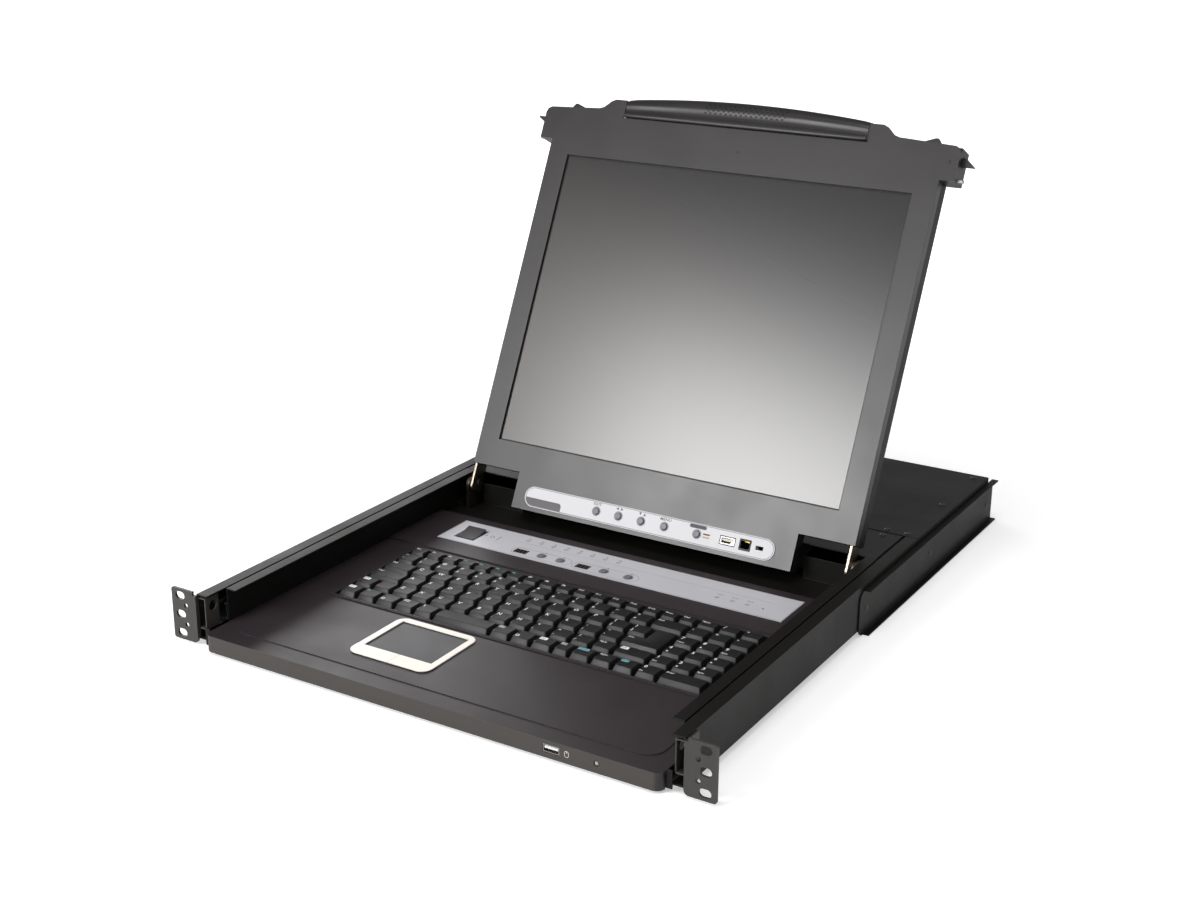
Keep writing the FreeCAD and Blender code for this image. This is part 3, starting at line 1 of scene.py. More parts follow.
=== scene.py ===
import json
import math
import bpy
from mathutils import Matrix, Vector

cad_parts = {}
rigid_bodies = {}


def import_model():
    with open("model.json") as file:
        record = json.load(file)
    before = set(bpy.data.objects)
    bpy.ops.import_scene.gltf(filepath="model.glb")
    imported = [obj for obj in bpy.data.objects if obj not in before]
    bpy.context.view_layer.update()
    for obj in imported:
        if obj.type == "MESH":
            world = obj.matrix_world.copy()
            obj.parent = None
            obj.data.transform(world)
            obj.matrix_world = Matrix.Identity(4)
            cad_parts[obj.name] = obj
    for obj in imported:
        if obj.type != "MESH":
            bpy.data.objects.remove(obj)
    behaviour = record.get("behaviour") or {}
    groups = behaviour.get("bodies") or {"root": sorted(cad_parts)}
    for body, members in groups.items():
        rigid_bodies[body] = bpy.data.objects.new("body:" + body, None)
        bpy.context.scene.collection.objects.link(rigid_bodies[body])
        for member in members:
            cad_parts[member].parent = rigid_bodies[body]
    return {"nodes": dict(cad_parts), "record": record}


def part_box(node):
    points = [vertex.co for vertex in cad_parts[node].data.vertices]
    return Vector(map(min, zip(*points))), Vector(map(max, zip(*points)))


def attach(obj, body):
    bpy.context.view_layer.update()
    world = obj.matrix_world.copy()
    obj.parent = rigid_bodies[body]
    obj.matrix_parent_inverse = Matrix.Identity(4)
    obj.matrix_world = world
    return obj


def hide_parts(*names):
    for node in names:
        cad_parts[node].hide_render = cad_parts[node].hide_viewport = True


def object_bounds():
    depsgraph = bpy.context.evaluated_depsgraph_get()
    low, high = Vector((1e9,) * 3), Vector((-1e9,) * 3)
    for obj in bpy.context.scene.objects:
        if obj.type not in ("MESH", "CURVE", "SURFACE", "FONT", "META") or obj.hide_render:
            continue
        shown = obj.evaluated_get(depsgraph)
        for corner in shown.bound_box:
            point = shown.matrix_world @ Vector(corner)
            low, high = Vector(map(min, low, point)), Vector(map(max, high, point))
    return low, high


bl_info = {
    "name": "Rackmount screen console drawer",
    "version": (1, 0, 0),
    "blender": (4, 5, 0),
    "location": "View3D > Sidebar > Console",
    "description": "Dresses the packed drawer with its finishes, keys, prints, sockets and fasteners",
    "category": "Object",
}

import bpy
from mathutils import Matrix, Vector

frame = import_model()
cad_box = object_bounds()

MM = 0.001
UP = Vector((0.0, 0.0, 1.0))
REAR = Vector((0.0, 1.0, 0.0))
KEY_BODIES = ("function", "number", "upper", "home", "lower", "bottom")
# Ink starts a little inside the face that it lies on and ends a little above it, in millimetres.
INK_SUNK = 0.02
INK_RISE = 0.03


# ---- places taken from the frame
def low(node):
    """Lowest corner of a CAD node in millimetres."""
    return Vector(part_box(node)[0]) / MM


def high(node):
    """Highest corner of a CAD node in millimetres."""
    return Vector(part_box(node)[1]) / MM


def centre(node):
    """Middle of a CAD node's box in millimetres."""
    return (low(node) + high(node)) / 2.0


def at(x, y, z):
    """Place in metres from millimetres."""
    return Vector((x, y, z)) * MM


def hinge_place():
    """The screen hinge's axis point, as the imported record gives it."""
    for joint in frame["record"]["behaviour"]["joints"]:
        if joint["name"] == "screen_hinge":
            return Vector(joint["pos_m"])
    raise RuntimeError("the packed record has no screen hinge")


def on_screen():
    """From (across, up the screen, out of the face), counted from the hinge, to the row frame."""
    lean = bpy.context.scene.console_sizes.lean
    return Matrix.Translation(hinge_place()) @ Matrix.Rotation(math.pi / 2.0 - lean, 4, "X")


# ---- what a user may change
def linear(hex_text):
    """sRGB hex value turned to linear light."""
    parts = []
    for start in (1, 3, 5):
        value = int(hex_text[start:start + 2], 16) / 255.0
        parts.append(value / 12.92 if value <= 0.04045 else ((value + 0.055) / 1.055) ** 2.4)
    return parts


def length(label, text, value_mm):
    """A length that the panel shows in the scene's units."""
    return bpy.props.FloatProperty(name=label, description=text, default=value_mm * MM, subtype="DISTANCE",
                                   unit="LENGTH")


def colour(label, text, hex_text):
    """A colour that the panel shows as a swatch."""
    return bpy.props.FloatVectorProperty(name=label, description=text, default=linear(hex_text), size=3,
                                         subtype="COLOR")


class ConsoleSizes(bpy.types.PropertyGroup):
    lean: bpy.props.FloatProperty(name="Screen lean", description="Backward lean of the open screen",
                                  default=math.radians(25.8), subtype="ANGLE", unit="ROTATION")
    legend: length("Legend size", "Type size of a single letter on a key", 5.2)
    key_corner: length("Key corner", "Corner radius of a key's top", 1.1)
    edge: length("Edge rounding", "Rounding of folded and moulded edges", 0.35)
    hole_pitch: length("Grille pitch", "Distance between the small holes of the handle's grille", 5.0)


class ConsoleColours(bpy.types.PropertyGroup):
    powder: colour("Powder coat", "Black of the folded steel", "#12110f")
    bezel: colour("Bezel paint", "Charcoal of the screen's frame", "#242022")
    deck: colour("Deck plastic", "Charcoal of the palm rest", "#2f292c")
    # The lip face's paler grey is partly a painted reflection of the floor.
    lip: colour("Lip face with painted reflection", "Warm grey of the lip's front face", "#403c38")
    key: colour("Keycaps", "Charcoal of the keys", "#161516")
    silver: colour("Control strip", "Silver of the control strip", "#cccbd0")


# ---- materials
MOTTLE_MM = 45.0
FINISHES = {}


def node(tree, kind, inputs=None, **settings):
    """Adds one node. An input takes a value, a socket, or a node for that node's first live output."""
    made = tree.nodes.new(kind)
    for key, value in settings.items():
        setattr(made, key, value)
    for key, value in (inputs or {}).items():
        if isinstance(value, bpy.types.Node):
            value = next(socket for socket in value.outputs if socket.enabled)
        if isinstance(value, bpy.types.NodeSocket):
            tree.links.new(value, made.inputs[key])
        else:
            made.inputs[key].default_value = value
    return made


def material(name):
    """A new material with an empty tree."""
    made = bpy.data.materials.new(name)
    made.use_nodes = True
    made.node_tree.nodes.clear()
    return made, made.node_tree


def finish(key, name, base, rough, grain_mm, depth_mm, shade=0.16, rough_spread=0.08, metallic=0.0, ior=1.5,
           stretch=(1.0, 1.0, 1.0), parted=None):
    """A surface with a grain of a real size, broad mottling, and roughness that follows both.

    parted = (axis, where the first ends and where the second starts in mm, its colour, its metallic)."""
    base = linear(base) if isinstance(base, str) else list(base)
    made, tree = material(name)
    spots = node(tree, "ShaderNodeTexCoord").outputs["Object"]
    laid = node(tree, "ShaderNodeMapping", {"Vector": spots, "Scale": stretch})
    grain = node(tree, "ShaderNodeTexNoise",
                 {"Vector": laid, "Scale": 1.0 / (grain_mm * MM), "Detail": 3.0, "Roughness": 0.6})
    broad = node(tree, "ShaderNodeTexNoise",
                 {"Vector": spots, "Scale": 1.0 / (MOTTLE_MM * MM), "Detail": 4.0})
    both = node(tree, "ShaderNodeMath", {0: grain, 1: broad}, operation="ADD")
    spread = node(tree, "ShaderNodeMapRange", {"Value": both, "From Min": 0.6, "From Max": 1.4})
    dark = [part * (1.0 - shade) for part in base] + [1.0]
    pale = [min(1.0, part * (1.0 + shade)) for part in base] + [1.0]
    tint = node(tree, "ShaderNodeMix", {0: spread, 6: dark, 7: pale}, data_type="RGBA")
    sheen = metallic
    if parted:
        axis, ends, starts, second, second_metallic = parted
        places = node(tree, "ShaderNodeSeparateXYZ", {"Vector": spots})
        side = node(tree, "ShaderNodeMapRange",
                    {"Value": places.outputs[axis], "From Min": ends * MM, "From Max": starts * MM})
        tint = node(tree, "ShaderNodeMix", {0: side, 6: tint, 7: list(second) + [1.0]}, data_type="RGBA")
        if metallic != second_metallic:
            sheen = node(tree, "ShaderNodeMapRange",
                         {"Value": side, "To Min": metallic, "To Max": second_metallic})
    polish = node(tree, "ShaderNodeMapRange",
                  {"Value": spread, "To Min": rough - rough_spread, "To Max": rough + rough_spread})
    relief = node(tree, "ShaderNodeBump", {"Height": grain, "Distance": depth_mm * MM, "Strength": 0.8})
    shader = node(tree, "ShaderNodeBsdfPrincipled",
                  {"Base Color": tint, "Roughness": polish, "Normal": relief, "Metallic": sheen})
    if metallic < 0.5:
        shader.inputs["IOR"].default_value = ior
    node(tree, "ShaderNodeOutputMaterial", {"Surface": shader})
    FINISHES[key] = made


def panel_film_painted_glare():
    """The unlit panel: matt polariser over a very fine anti-glare grain, with a painted reflection of the
    lamps and floor that makes it paler towards its lower left.
    """
    made, tree = material("anti-glare polariser film, painted glare")
    spots = node(tree, "ShaderNodeTexCoord").outputs["Object"]
    parts = node(tree, "ShaderNodeSeparateXYZ", {"Vector": spots}).outputs
    # Painted reflection: the colour turns from near black to a warm grey towards the lower left, where the
    # front lamp and the pale floor would be seen in the film.
    across = node(tree, "ShaderNodeMath", {0: parts["X"], 1: -0.35}, operation="MULTIPLY")
    along = node(tree, "ShaderNodeMath", {0: across, 1: parts["Z"]}, operation="SUBTRACT")
    spread = node(tree, "ShaderNodeMapRange", {"Value": along, "From Min": -0.33, "From Max": -0.02},
                  interpolation_type="SMOOTHSTEP")
    tint = node(tree, "ShaderNodeMix",
                {0: spread, 6: linear("#1a1819") + [1.0], 7: linear("#5a5653") + [1.0]}, data_type="RGBA")
    grain = node(tree, "ShaderNodeTexNoise", {"Vector": spots, "Scale": 1.0 / (0.35 * MM)})
    relief = node(tree, "ShaderNodeBump", {"Height": grain, "Distance": 0.002 * MM, "Strength": 0.5})
    shader = node(tree, "ShaderNodeBsdfPrincipled",
                  {"Base Color": tint, "Roughness": 0.27, "IOR": 1.66, "Normal": relief})
    node(tree, "ShaderNodeOutputMaterial", {"Surface": shader})
    FINISHES["panel"] = made


def make_finishes():
    """Every finish of the drawer: its real material and process, and what that gives the eye; the ears, the
    lip and the panel film also carry painted light, and black stands in for shade.
    """
    colours = bpy.context.scene.console_colours
    # Polyester powder coat on folded steel: near black, an orange-peel grain, soft wide highlights.
    finish("powder", "powder coated steel, fine texture", colours.powder, 0.48, 0.9, 0.03, ior=1.34)
    # The same coat on the thicker ears and brackets, painted paler as a painted highlight for the light they
    # catch.
    finish("ear", "powder coated ear steel, painted paler", "#3c3936", 0.42, 0.8, 0.03)
    # The corner boxes carry turned steel ball pins, pressed in and bright zinc plated.
    out = high("lcd_bezel").x + 0.05
    for side, way in (("left", -1.0), ("right", 1.0)):
        finish("corner_" + side, "powder coated corner box with plated pin, " + side, "#2c2927", 0.42, 0.8,
               0.03, parted=("X", way * out, way * (out + 0.05), linear("#cfccc8"), 1.0))
    # Sprayed satin paint on the screen's die-cast frame: smoother, with a faint sparkle of grain.
    finish("bezel", "satin charcoal paint on cast frame", colours.bezel, 0.38, 0.7, 0.014, shade=0.08,
           rough_spread=0.05, ior=1.62)
    # Rolled steel with a zinc plate: grey-blue, rolled lines along the slide.
    finish("zinc", "zinc plated rolled steel", "#a9adb2", 0.34, 1.2, 0.006, metallic=1.0,
           stretch=(1.0, 0.08, 1.0))
    # Nickel on stamped steel: bright, with fine lines up the arm.
    finish("nickel", "nickel plated stamped steel", "#a2978a", 0.36, 0.8, 0.002, metallic=1.0,
           stretch=(1.0, 1.0, 0.12))
    # Tin plate on pressed connector shells: pale, a little blurred.
    finish("tin", "tin plated pressed shell", "#b9bbbf", 0.3, 1.0, 0.004, metallic=1.0)
    # The screen's sockets: a tin plated flat one, and right of it a square one of glossy black moulding.
    finish("sockets", "tin plated shell beside black jack moulding", "#b9bbbf", 0.3, 1.0, 0.004,
           metallic=1.0, parted=("X", 86.6, 87.0, linear("#0e0d0d"), 0.0))
    # The rear connectors: tin plated shells, and at the right end the mains inlet's black moulding.
    finish("ports", "tin plated shells beside black inlet moulding", "#b9bbbf", 0.32, 1.0, 0.004,
           metallic=1.0, parted=("X", 148.0, 148.5, linear("#121212"), 0.0))
    # Glass-filled moulding whose blue tells the monitor port from the others.
    finish("blue", "blue moulded connector face", "#24408a", 0.45, 0.5, 0.004, shade=0.08)
    # Gold flash on contacts: warm and bright.
    finish("gold", "gold flashed contact", "#c9a04c", 0.3, 0.5, 0.002, metallic=1.0)
    # Solder mask over glass-fibre board: green, glossy, with a weave below.
    finish("board", "solder mask on glass fibre", "#1d4a2c", 0.3, 1.2, 0.01, shade=0.2)
    # Injection moulded ABS with a spark-eroded grain: matt charcoal that turns grey at a low angle.
    finish("deck", "moulded ABS deck, eroded grain", colours.deck, 0.46, 0.7, 0.02, shade=0.1)
    # The palm rest is the same moulding; the front face of its lip is painted a warmer, paler grey, partly
    # its own tone and partly a painted reflection of the floor.
    lip = low("palm_rest").y
    finish("palm", "moulded ABS palm rest, paler lip with painted reflection", colours.deck, 0.44, 0.7, 0.02, shade=0.1,
           parted=("Y", lip + 0.7, lip + 0.2, colours.lip, 0.0))
    # The same plastic with a finer grain on the handle, smoother where a hand takes it.
    finish("grip", "moulded ABS grip, fine grain", "#292628", 0.4, 0.5, 0.012, shade=0.1)
    # PBT keycaps: matt, slightly greasy where fingers polish them.
    finish("key", "moulded keycap, fine grain", colours.key, 0.48, 0.5, 0.01, shade=0.12, rough_spread=0.1)
    # Plain black moulding in slots, sockets and wells, and black as painted shade where the grille's holes,
    # the screws' cross recesses and the rims of the screen's sockets stand: takes the light away.
    finish("black", "black moulding and painted shade in recesses", "#0b0b0b", 0.55, 0.6, 0.01)
    # Lacquer with fine silver flake: warm, softly glossy.
    finish("champagne", "champagne lacquer with silver flake", "#f2ece2", 0.36, 0.4, 0.004, shade=0.06,
           metallic=0.15)
    # Etched polyester film of the pad: dark, very even.
    finish("film", "etched film over touch pad", "#2b292f", 0.42, 0.5, 0.006, shade=0.06)
    # Silver ink below a matt polycarbonate overlay: a soft metal grey without a mirror.
    finish("silver", "silver printed overlay", colours.silver, 0.42, 0.5, 0.003, shade=0.05,
           rough_spread=0.05, metallic=0.08)
    # White and grey inks below a matt overlay: flat and even, with no glare.
    finish("white", "white printed overlay", "#dedde0", 0.52, 0.5, 0.003, shade=0.03)
    finish("rim", "grey printed border", "#8f8e93", 0.45, 0.5, 0.003, shade=0.05)
    # Moulded grey buttons with a satin face.
    finish("button", "satin grey button moulding", "#6f7279", 0.4, 0.4, 0.006, shade=0.08)
    # Screen printed inks on keys and strips: matt, slightly thick.
    finish("tab", "grey printed tab", "#605d60", 0.5, 0.3, 0.002, shade=0.05)
    finish("ink", "white screen print", "#f2f1f0", 0.55, 0.3, 0.002, shade=0.04)
    for key, name, base in (("ink_amber", "amber", "#cf9a63"), ("ink_dark", "dark grey", "#4b4a50"),
                            ("ink_teal", "teal", "#7fb9c6"), ("ink_red", "red", "#b5473c")):
        finish(key, name + " screen print", base, 0.55, 0.3, 0.002, shade=0.06)
    # Small windows and light guides: a glossy smoked one, a frosted one, and the dim segments below glass.
    finish("window", "smoked acrylic window", "#1c1214", 0.12, 0.5, 0.001, shade=0.05)
    finish("lens", "frosted light guide", "#b9b9b4", 0.35, 0.5, 0.002, shade=0.06)
    finish("segment", "unlit display segment", "#5a4a48", 0.35, 0.5, 0.001, shade=0.04)
    # The panel's film, whose paler lower left is a painted reflection.
    panel_film_painted_glare()


NODE_FINISH = {
    "powder": ("side_channel_left", "side_channel_right", "rear_rails", "rear_case", "rear_cover",
               "tray_base", "hinge_deck", "hinge_cover", "lcd_back_cover"),
    "ear": ("rack_ear_left", "rack_ear_right", "catch_brackets"),
    "corner_left": ("corner_bracket_left",),
    "corner_right": ("corner_bracket_right",),
    "bezel": ("lcd_bezel",),
    "zinc": ("slide_outer", "slide_middle", "slide_inner"),
    "nickel": ("hinge_arms", "hinge_blocks"),
    "tin": ("front_usb_socket",),
    "ports": ("rear_connectors",),
    "sockets": ("lcd_sockets",),
    "board": ("main_board", "power_supply", "panel_board", "lcd_boards"),
    "deck": ("control_deck", "keyboard_base", "power_rocker"),
    "palm": ("palm_rest",),
    "grip": ("latch_left", "latch_right", "handle_bar"),
    "key": ("space_bar", "enter_key") + tuple("key_row_" + name for name in KEY_BODIES),
    "champagne": ("touchpad_frame", "touch_button_left", "touch_button_right"),
    "film": ("touchpad_surface",),
    "silver": ("control_strip",),
    "white": ("osd_strip",),
    "window": ("led_displays",),
    "panel": ("lcd_panel",),
    "button": ("lcd_power_button",) + tuple("%s_button_%d" % (kind, count + 1) for kind in ("panel", "osd")
                                            for count in range(4)),
    "black": ("firmware_switch",),
}
SOFT_EDGES = ("rack_ear_left", "rack_ear_right", "lcd_bezel", "lcd_back_cover", "corner_bracket_left",
              "corner_bracket_right", "palm_rest", "control_deck", "tray_base", "side_channel_left",
              "side_channel_right", "rear_cover", "rear_rails", "hinge_cover", "hinge_deck", "hinge_arms",
              "catch_brackets", "touchpad_frame", "latch_left", "latch_right", "power_rocker", "osd_strip",
              "keyboard_base")


class CONSOLE_OT_finishes(bpy.types.Operator):
    """Gives every CAD node its finish and softens the edges of the sheet and moulded ones"""
    bl_idname = "console.finishes"
    bl_label = "Finishes"

    def execute(self, context):
        make_finishes()
        given = set()
        for key, names in NODE_FINISH.items():
            for name in names:
                shown = frame["nodes"][name]
                shown.data.materials.clear()
                shown.data.materials.append(FINISHES[key])
                given.add(name)
        missing = set(frame["nodes"]) - given
        if missing:
            raise RuntimeError("no finish for " + ", ".join(sorted(missing)))
        for name in SOFT_EDGES:
            shown = frame["nodes"][name]
            join = shown.modifiers.new("join", "WELD")
            join.merge_threshold = 0.005 * MM
            plain = shown.modifiers.new("whole faces", "DECIMATE")
            plain.decimate_type = "DISSOLVE"
            plain.angle_limit = math.radians(0.6)
            soft = shown.modifiers.new("edges", "BEVEL")
            soft.width = context.scene.console_sizes.edge
            soft.segments = 2
            soft.limit_method = "ANGLE"
            soft.angle_limit = math.radians(40.0)
            soft.use_clamp_overlap = True
            level = shown.modifiers.new("flat faces", "WEIGHTED_NORMAL")
            level.mode = "FACE_AREA"
            level.weight = 100
            level.keep_sharp = False
        return {"FINISHED"}


# ---- shapes
ROUND_STEPS = 4
SMOOTH_BELOW = 35.0
LETTERS = {}


def linked(name, data):
    """A new object in the scene."""
    made = bpy.data.objects.new(name, data)
    bpy.context.scene.collection.objects.link(made)
    return made


def plain_mesh(holder):
    """The finished mesh of an object, which then goes with its source."""
    seen = holder.evaluated_get(bpy.context.evaluated_depsgraph_get())
    mesh = bpy.data.meshes.new_from_object(seen)
    bpy.data.batch_remove((holder, holder.data))
    return mesh


def dress(name, mesh, body, smooth=SMOOTH_BELOW):
    """Shades a piece's mesh and rides it on its CAD body."""
    mesh.shade_smooth()
    mesh.set_sharp_from_angle(angle=math.radians(smooth))
    made = linked(name, mesh)
    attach(made, body)
    return made


def about(x, y, half_x, half_y):
    """Bounds of a rectangle about its middle, as slab and ring take them."""
    return x - half_x, x + half_x, y - half_y, y + half_y


def rounded(x0, x1, y0, y1, z, r):
    """Points round a rectangle with rounded corners, turning left."""
    if r <= 0.0:
        return [(x0, y0, z), (x1, y0, z), (x1, y1, z), (x0, y1, z)]
    points = []
    corners = ((x1 - r, y0 + r, -90.0), (x1 - r, y1 - r, 0.0),
               (x0 + r, y1 - r, 90.0), (x0 + r, y0 + r, 180.0))
    for cx, cy, start in corners:
        for step in range(ROUND_STEPS):
            angle = math.radians(start + 90.0 * step / (ROUND_STEPS - 1))
            points.append((cx + r * math.cos(angle), cy + r * math.sin(angle), z))
    return points


def circle(cx, cy, z, r, count=20):
    """Points round a circle, turning left."""
    turns = [math.tau * index / count for index in range(count)]
    return [(cx + r * math.cos(turn), cy + r * math.sin(turn), z) for turn in turns]


def soft_levels(z0, z1, soft):
    """(height, inset) up a body whose upper edge is softened by that much."""
    if soft > 0.0:
        return [(z0, 0.0), (z1 - soft, 0.0), (z1 - soft * 0.3, soft * 0.3), (z1, soft)]
    return [(z0, 0.0), (z1, 0.0)]


def letters(text):
    """Flat faces of a word at size 1, with its width."""
    if text not in LETTERS:
        curve = bpy.data.curves.new("word", "FONT")
        curve.body = text
        curve.resolution_u = 2
        # Single letters are drawn bolder; a longer word's strokes would run together.
        curve.offset = 0.022 if len(text) < 3 else 0.01
        mesh = plain_mesh(linked("word", curve))
        points = [(v.co.x, v.co.y) for v in mesh.vertices]
        faces = [list(face.vertices) for face in mesh.polygons]
        bpy.data.meshes.remove(mesh)
        LETTERS[text] = (points, faces, max((x for x, _ in points), default=0.0))
    return LETTERS[text]


class Shape:
    """Gathers the faces of one piece, in millimetres, with a finish number for each face."""

    def __init__(self, place=None):
        self.points = []
        self.faces = []
        self.paint = []
        self.place = place or Matrix()

    def add(self, points, faces, paint=0, turn=None):
        """Adds faces with points of their own, turned first and then placed."""
        first = len(self.points)
        for point in points:
            spot = Vector(point)
            if turn is not None:
                spot = turn @ spot
            self.points.append(self.place @ (spot * MM))
        self.faces.extend([first + index for index in face] for face in faces)
        self.paint.extend([paint] * len(faces))

    def skin(self, rings, paint=0):
        """Closed skin over rings of equal length, from the lowest to the highest."""
        count = len(rings[0])
        points = [point for ring in rings for point in ring]
        last = len(points) - count
        faces = []
        for base in range(0, last, count):
            for step in range(count):
                after = (step + 1) % count
                faces.append([base + step, base + after, base + count + after, base + count + step])
        faces.append(list(reversed(range(count))))
        faces.append(list(range(last, last + count)))
        self.add(points, faces, paint)

    def slab(self, x0, x1, y0, y1, z0, z1, paint=0, r=0.0, soft=0.0):
        """Flat plate with rounded corners and a soft upper edge."""
        self.skin([rounded(x0 + inset, x1 - inset, y0 + inset, y1 - inset, z, r)
                   for z, inset in soft_levels(z0, z1, soft)], paint)

    def frame(self, outer, inner, z0, paint=0):
        """Band between two outlines of equal length, down to z0."""
        count = len(outer)
        points = outer + inner + [(x, y, z0) for x, y, _ in outer + inner]
        faces = []
        for step in range(count):
            after = (step + 1) % count
            for a, b in ((0, 1), (2, 0), (1, 3), (3, 2)):
                faces.append([a * count + step, a * count + after, b * count + after, b * count + step])
        self.add(points, faces, paint)

    def ring(self, x0, x1, y0, y1, r, width, z0, z1, paint=0):
        """Flat frame of one width round a rounded rectangle."""
        outer = rounded(x0, x1, y0, y1, z1, r)
        inner = rounded(x0 + width, x1 - width, y0 + width, y1 - width, z1, max(r - width, 0.05))
        self.frame(outer, inner, z0, paint)

    def washer(self, cx, cy, r0, r1, z0, z1, paint=0, count=20):
        """Flat frame between two circles."""
        self.frame(circle(cx, cy, z1, r1, count), circle(cx, cy, z1, r0, count), z0, paint)

    def flat(self, outline, z, paint=0, turn=None):
        """Thin printed area with one face."""
        self.add([(x, y, z) for x, y in outline], [list(range(len(outline)))], paint, turn)

    def row(self, start, pitch, count, half, y0, y1, z0, z1):
        """Flat contacts side by side in a socket, in the piece's second finish."""
        for column in range(count):
            x = start + column * pitch
            self.slab(x - half, x + half, y0, y1, z0, z1, 1)

    def word(self, text, x, y, z, size, paint=0, middle=False, wide=1.0):
        """Flat letters on a base line, which start at the place or have their middle there."""
        points, faces, width = letters(text)
        shift = width * size * wide / 2.0 if middle else 0.0
        spots = [(px * size * wide - shift, py * size, 0.0) for px, py in points]
        self.add(spots, faces, paint, Matrix.Translation((x, y, z)))

    def piece(self, name, finishes, body, replaces=(), smooth=SMOOTH_BELOW):
        """Makes the piece, rides it on its CAD body and hides the CAD nodes that it stands for."""
        mesh = bpy.data.meshes.new(name)
        mesh.from_pydata([tuple(point) for point in self.points], [], self.faces)
        for key in finishes:
            mesh.materials.append(FINISHES[key])
        mesh.polygons.foreach_set("material_index", self.paint)
        mesh.update()
        made = dress(name, mesh, body, smooth)
        if replaces:
            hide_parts(*replaces)


# ---- repeats by Geometry Nodes
SCREW_HEAD = {"Radius": 2.7 * MM, "Height": 0.7 * MM, "Recess": 2.6 * MM}
SMALL_SCREW_HEAD = {"Radius": 1.7 * MM, "Height": 0.4 * MM, "Recess": 1.7 * MM}
TREES = {}


def group(name, sizes):
    """A tree with a point cloud, named sizes and materials in, and geometry out."""
    tree = bpy.data.node_groups.new(name, "GeometryNodeTree")
    tree.interface.new_socket("Geometry", in_out="OUTPUT", socket_type="NodeSocketGeometry")
    tree.interface.new_socket("Points", in_out="INPUT", socket_type="NodeSocketGeometry")
    for label, value in sizes:
        made = tree.interface.new_socket(label, in_out="INPUT", socket_type="NodeSocketFloat")
        made.default_value = value
        made.subtype = "DISTANCE"
    for label in ("Material", "Recess shade material"):
        tree.interface.new_socket(label, in_out="INPUT", socket_type="NodeSocketMaterial")
    return tree, node(tree, "NodeGroupInput").outputs


def joined(tree, parts):
    """Joins the geometry of several nodes."""
    made = node(tree, "GeometryNodeJoinGeometry")
    for part in parts:
        tree.links.new(part.outputs[0], made.inputs["Geometry"])
    return made


def place_on_points(tree, given, pieces):
    """Instances on each point, turned so that they stand along the point's own direction."""
    out = node(tree, "GeometryNodeInputNamedAttribute", {"Name": "out"}, data_type="FLOAT_VECTOR")
    turn = node(tree, "FunctionNodeAlignRotationToVector", {"Vector": out}, axis="Z")
    spread = node(tree, "GeometryNodeInstanceOnPoints",
                  {"Points": given["Points"], "Instance": pieces, "Rotation": turn})
    return node(tree, "GeometryNodeRealizeInstances", {"Geometry": spread})


def screw_tree():
    """Pan head screw whose cross recess is a cross of thin raised bars in the recess material, painted shade
    in place of the recess.
    """
    tree, given = group("screw heads", (("Radius", 3.0 * MM), ("Height", 1.2 * MM), ("Recess", 2.6 * MM)))
    crown = node(tree, "ShaderNodeMath", {0: given["Radius"], 1: 0.72}, operation="MULTIPLY")
    rim = node(tree, "GeometryNodeMeshCone",
               {"Vertices": 20, "Side Segments": 1, "Radius Bottom": given["Radius"], "Radius Top": crown,
                "Depth": given["Height"]})
    recess = given["Recess"]
    width = node(tree, "ShaderNodeMath", {0: recess, 1: 0.24}, operation="MULTIPLY")
    bars = []
    # The recess is not cut: the cross of bars above the head is painted shade.
    for first, second in ((recess, width), (width, recess)):
        size = node(tree, "ShaderNodeCombineXYZ", {"X": first, "Y": second, "Z": 0.12 * MM})
        bars.append(node(tree, "GeometryNodeMeshCube", {"Size": size}))
    lift = node(tree, "ShaderNodeCombineXYZ", {"Z": given["Height"]})
    raised = node(tree, "GeometryNodeTransform", {"Geometry": joined(tree, bars), "Translation": lift})
    dark = node(tree, "GeometryNodeSetMaterial", {"Geometry": raised, "Material": given["Recess shade material"]})
    bright = node(tree, "GeometryNodeSetMaterial", {"Geometry": rim, "Material": given["Material"]})
    real = place_on_points(tree, given, joined(tree, (dark, bright)))
    node(tree, "NodeGroupOutput", {"Geometry": real})
    return tree


def peg_tree():
    """Short round pegs, such as contacts, lenses and black discs of painted shade that stand for the holes
    of a grille.
    """
    tree, given = group("round pegs", (("Radius", 0.5 * MM), ("Length", 1.0 * MM)))
    peg = node(tree, "GeometryNodeMeshCylinder",
               {"Vertices": 12, "Radius": given["Radius"], "Depth": given["Length"]})
    real = place_on_points(tree, given, peg)
    painted = node(tree, "GeometryNodeSetMaterial", {"Geometry": real, "Material": given["Material"]})
    node(tree, "NodeGroupOutput", {"Geometry": painted})
    return tree


def repeat(name, kind, spots, sizes, finishes, body):
    """Repeats a small part at spots of (place, direction), in metres, as one plain mesh on one body."""
    if kind not in TREES:
        TREES[kind] = {"screw": screw_tree, "peg": peg_tree}[kind]()
    tree = TREES[kind]
    cloud = bpy.data.meshes.new(name + "_points")
    cloud.from_pydata([tuple(place) for place, _ in spots], [], [])
    out = cloud.attributes.new("out", "FLOAT_VECTOR", "POINT")
    out.data.foreach_set("vector", [part for _, way in spots for part in way])
    holder = linked(name + "_points", cloud)
    modifier = holder.modifiers.new("repeat", "NODES")
    modifier.node_group = tree
    values = dict(sizes)
    values["Material"] = FINISHES[finishes[0]]
    values["Recess shade material"] = FINISHES[finishes[-1]]
    for item in tree.interface.items_tree:
        if item.item_type == "SOCKET" and item.in_out == "INPUT" and item.name in values:
            modifier[item.identifier] = values[item.name]
    mesh = plain_mesh(holder)
    mesh.name = name
    dress(name, mesh, body)


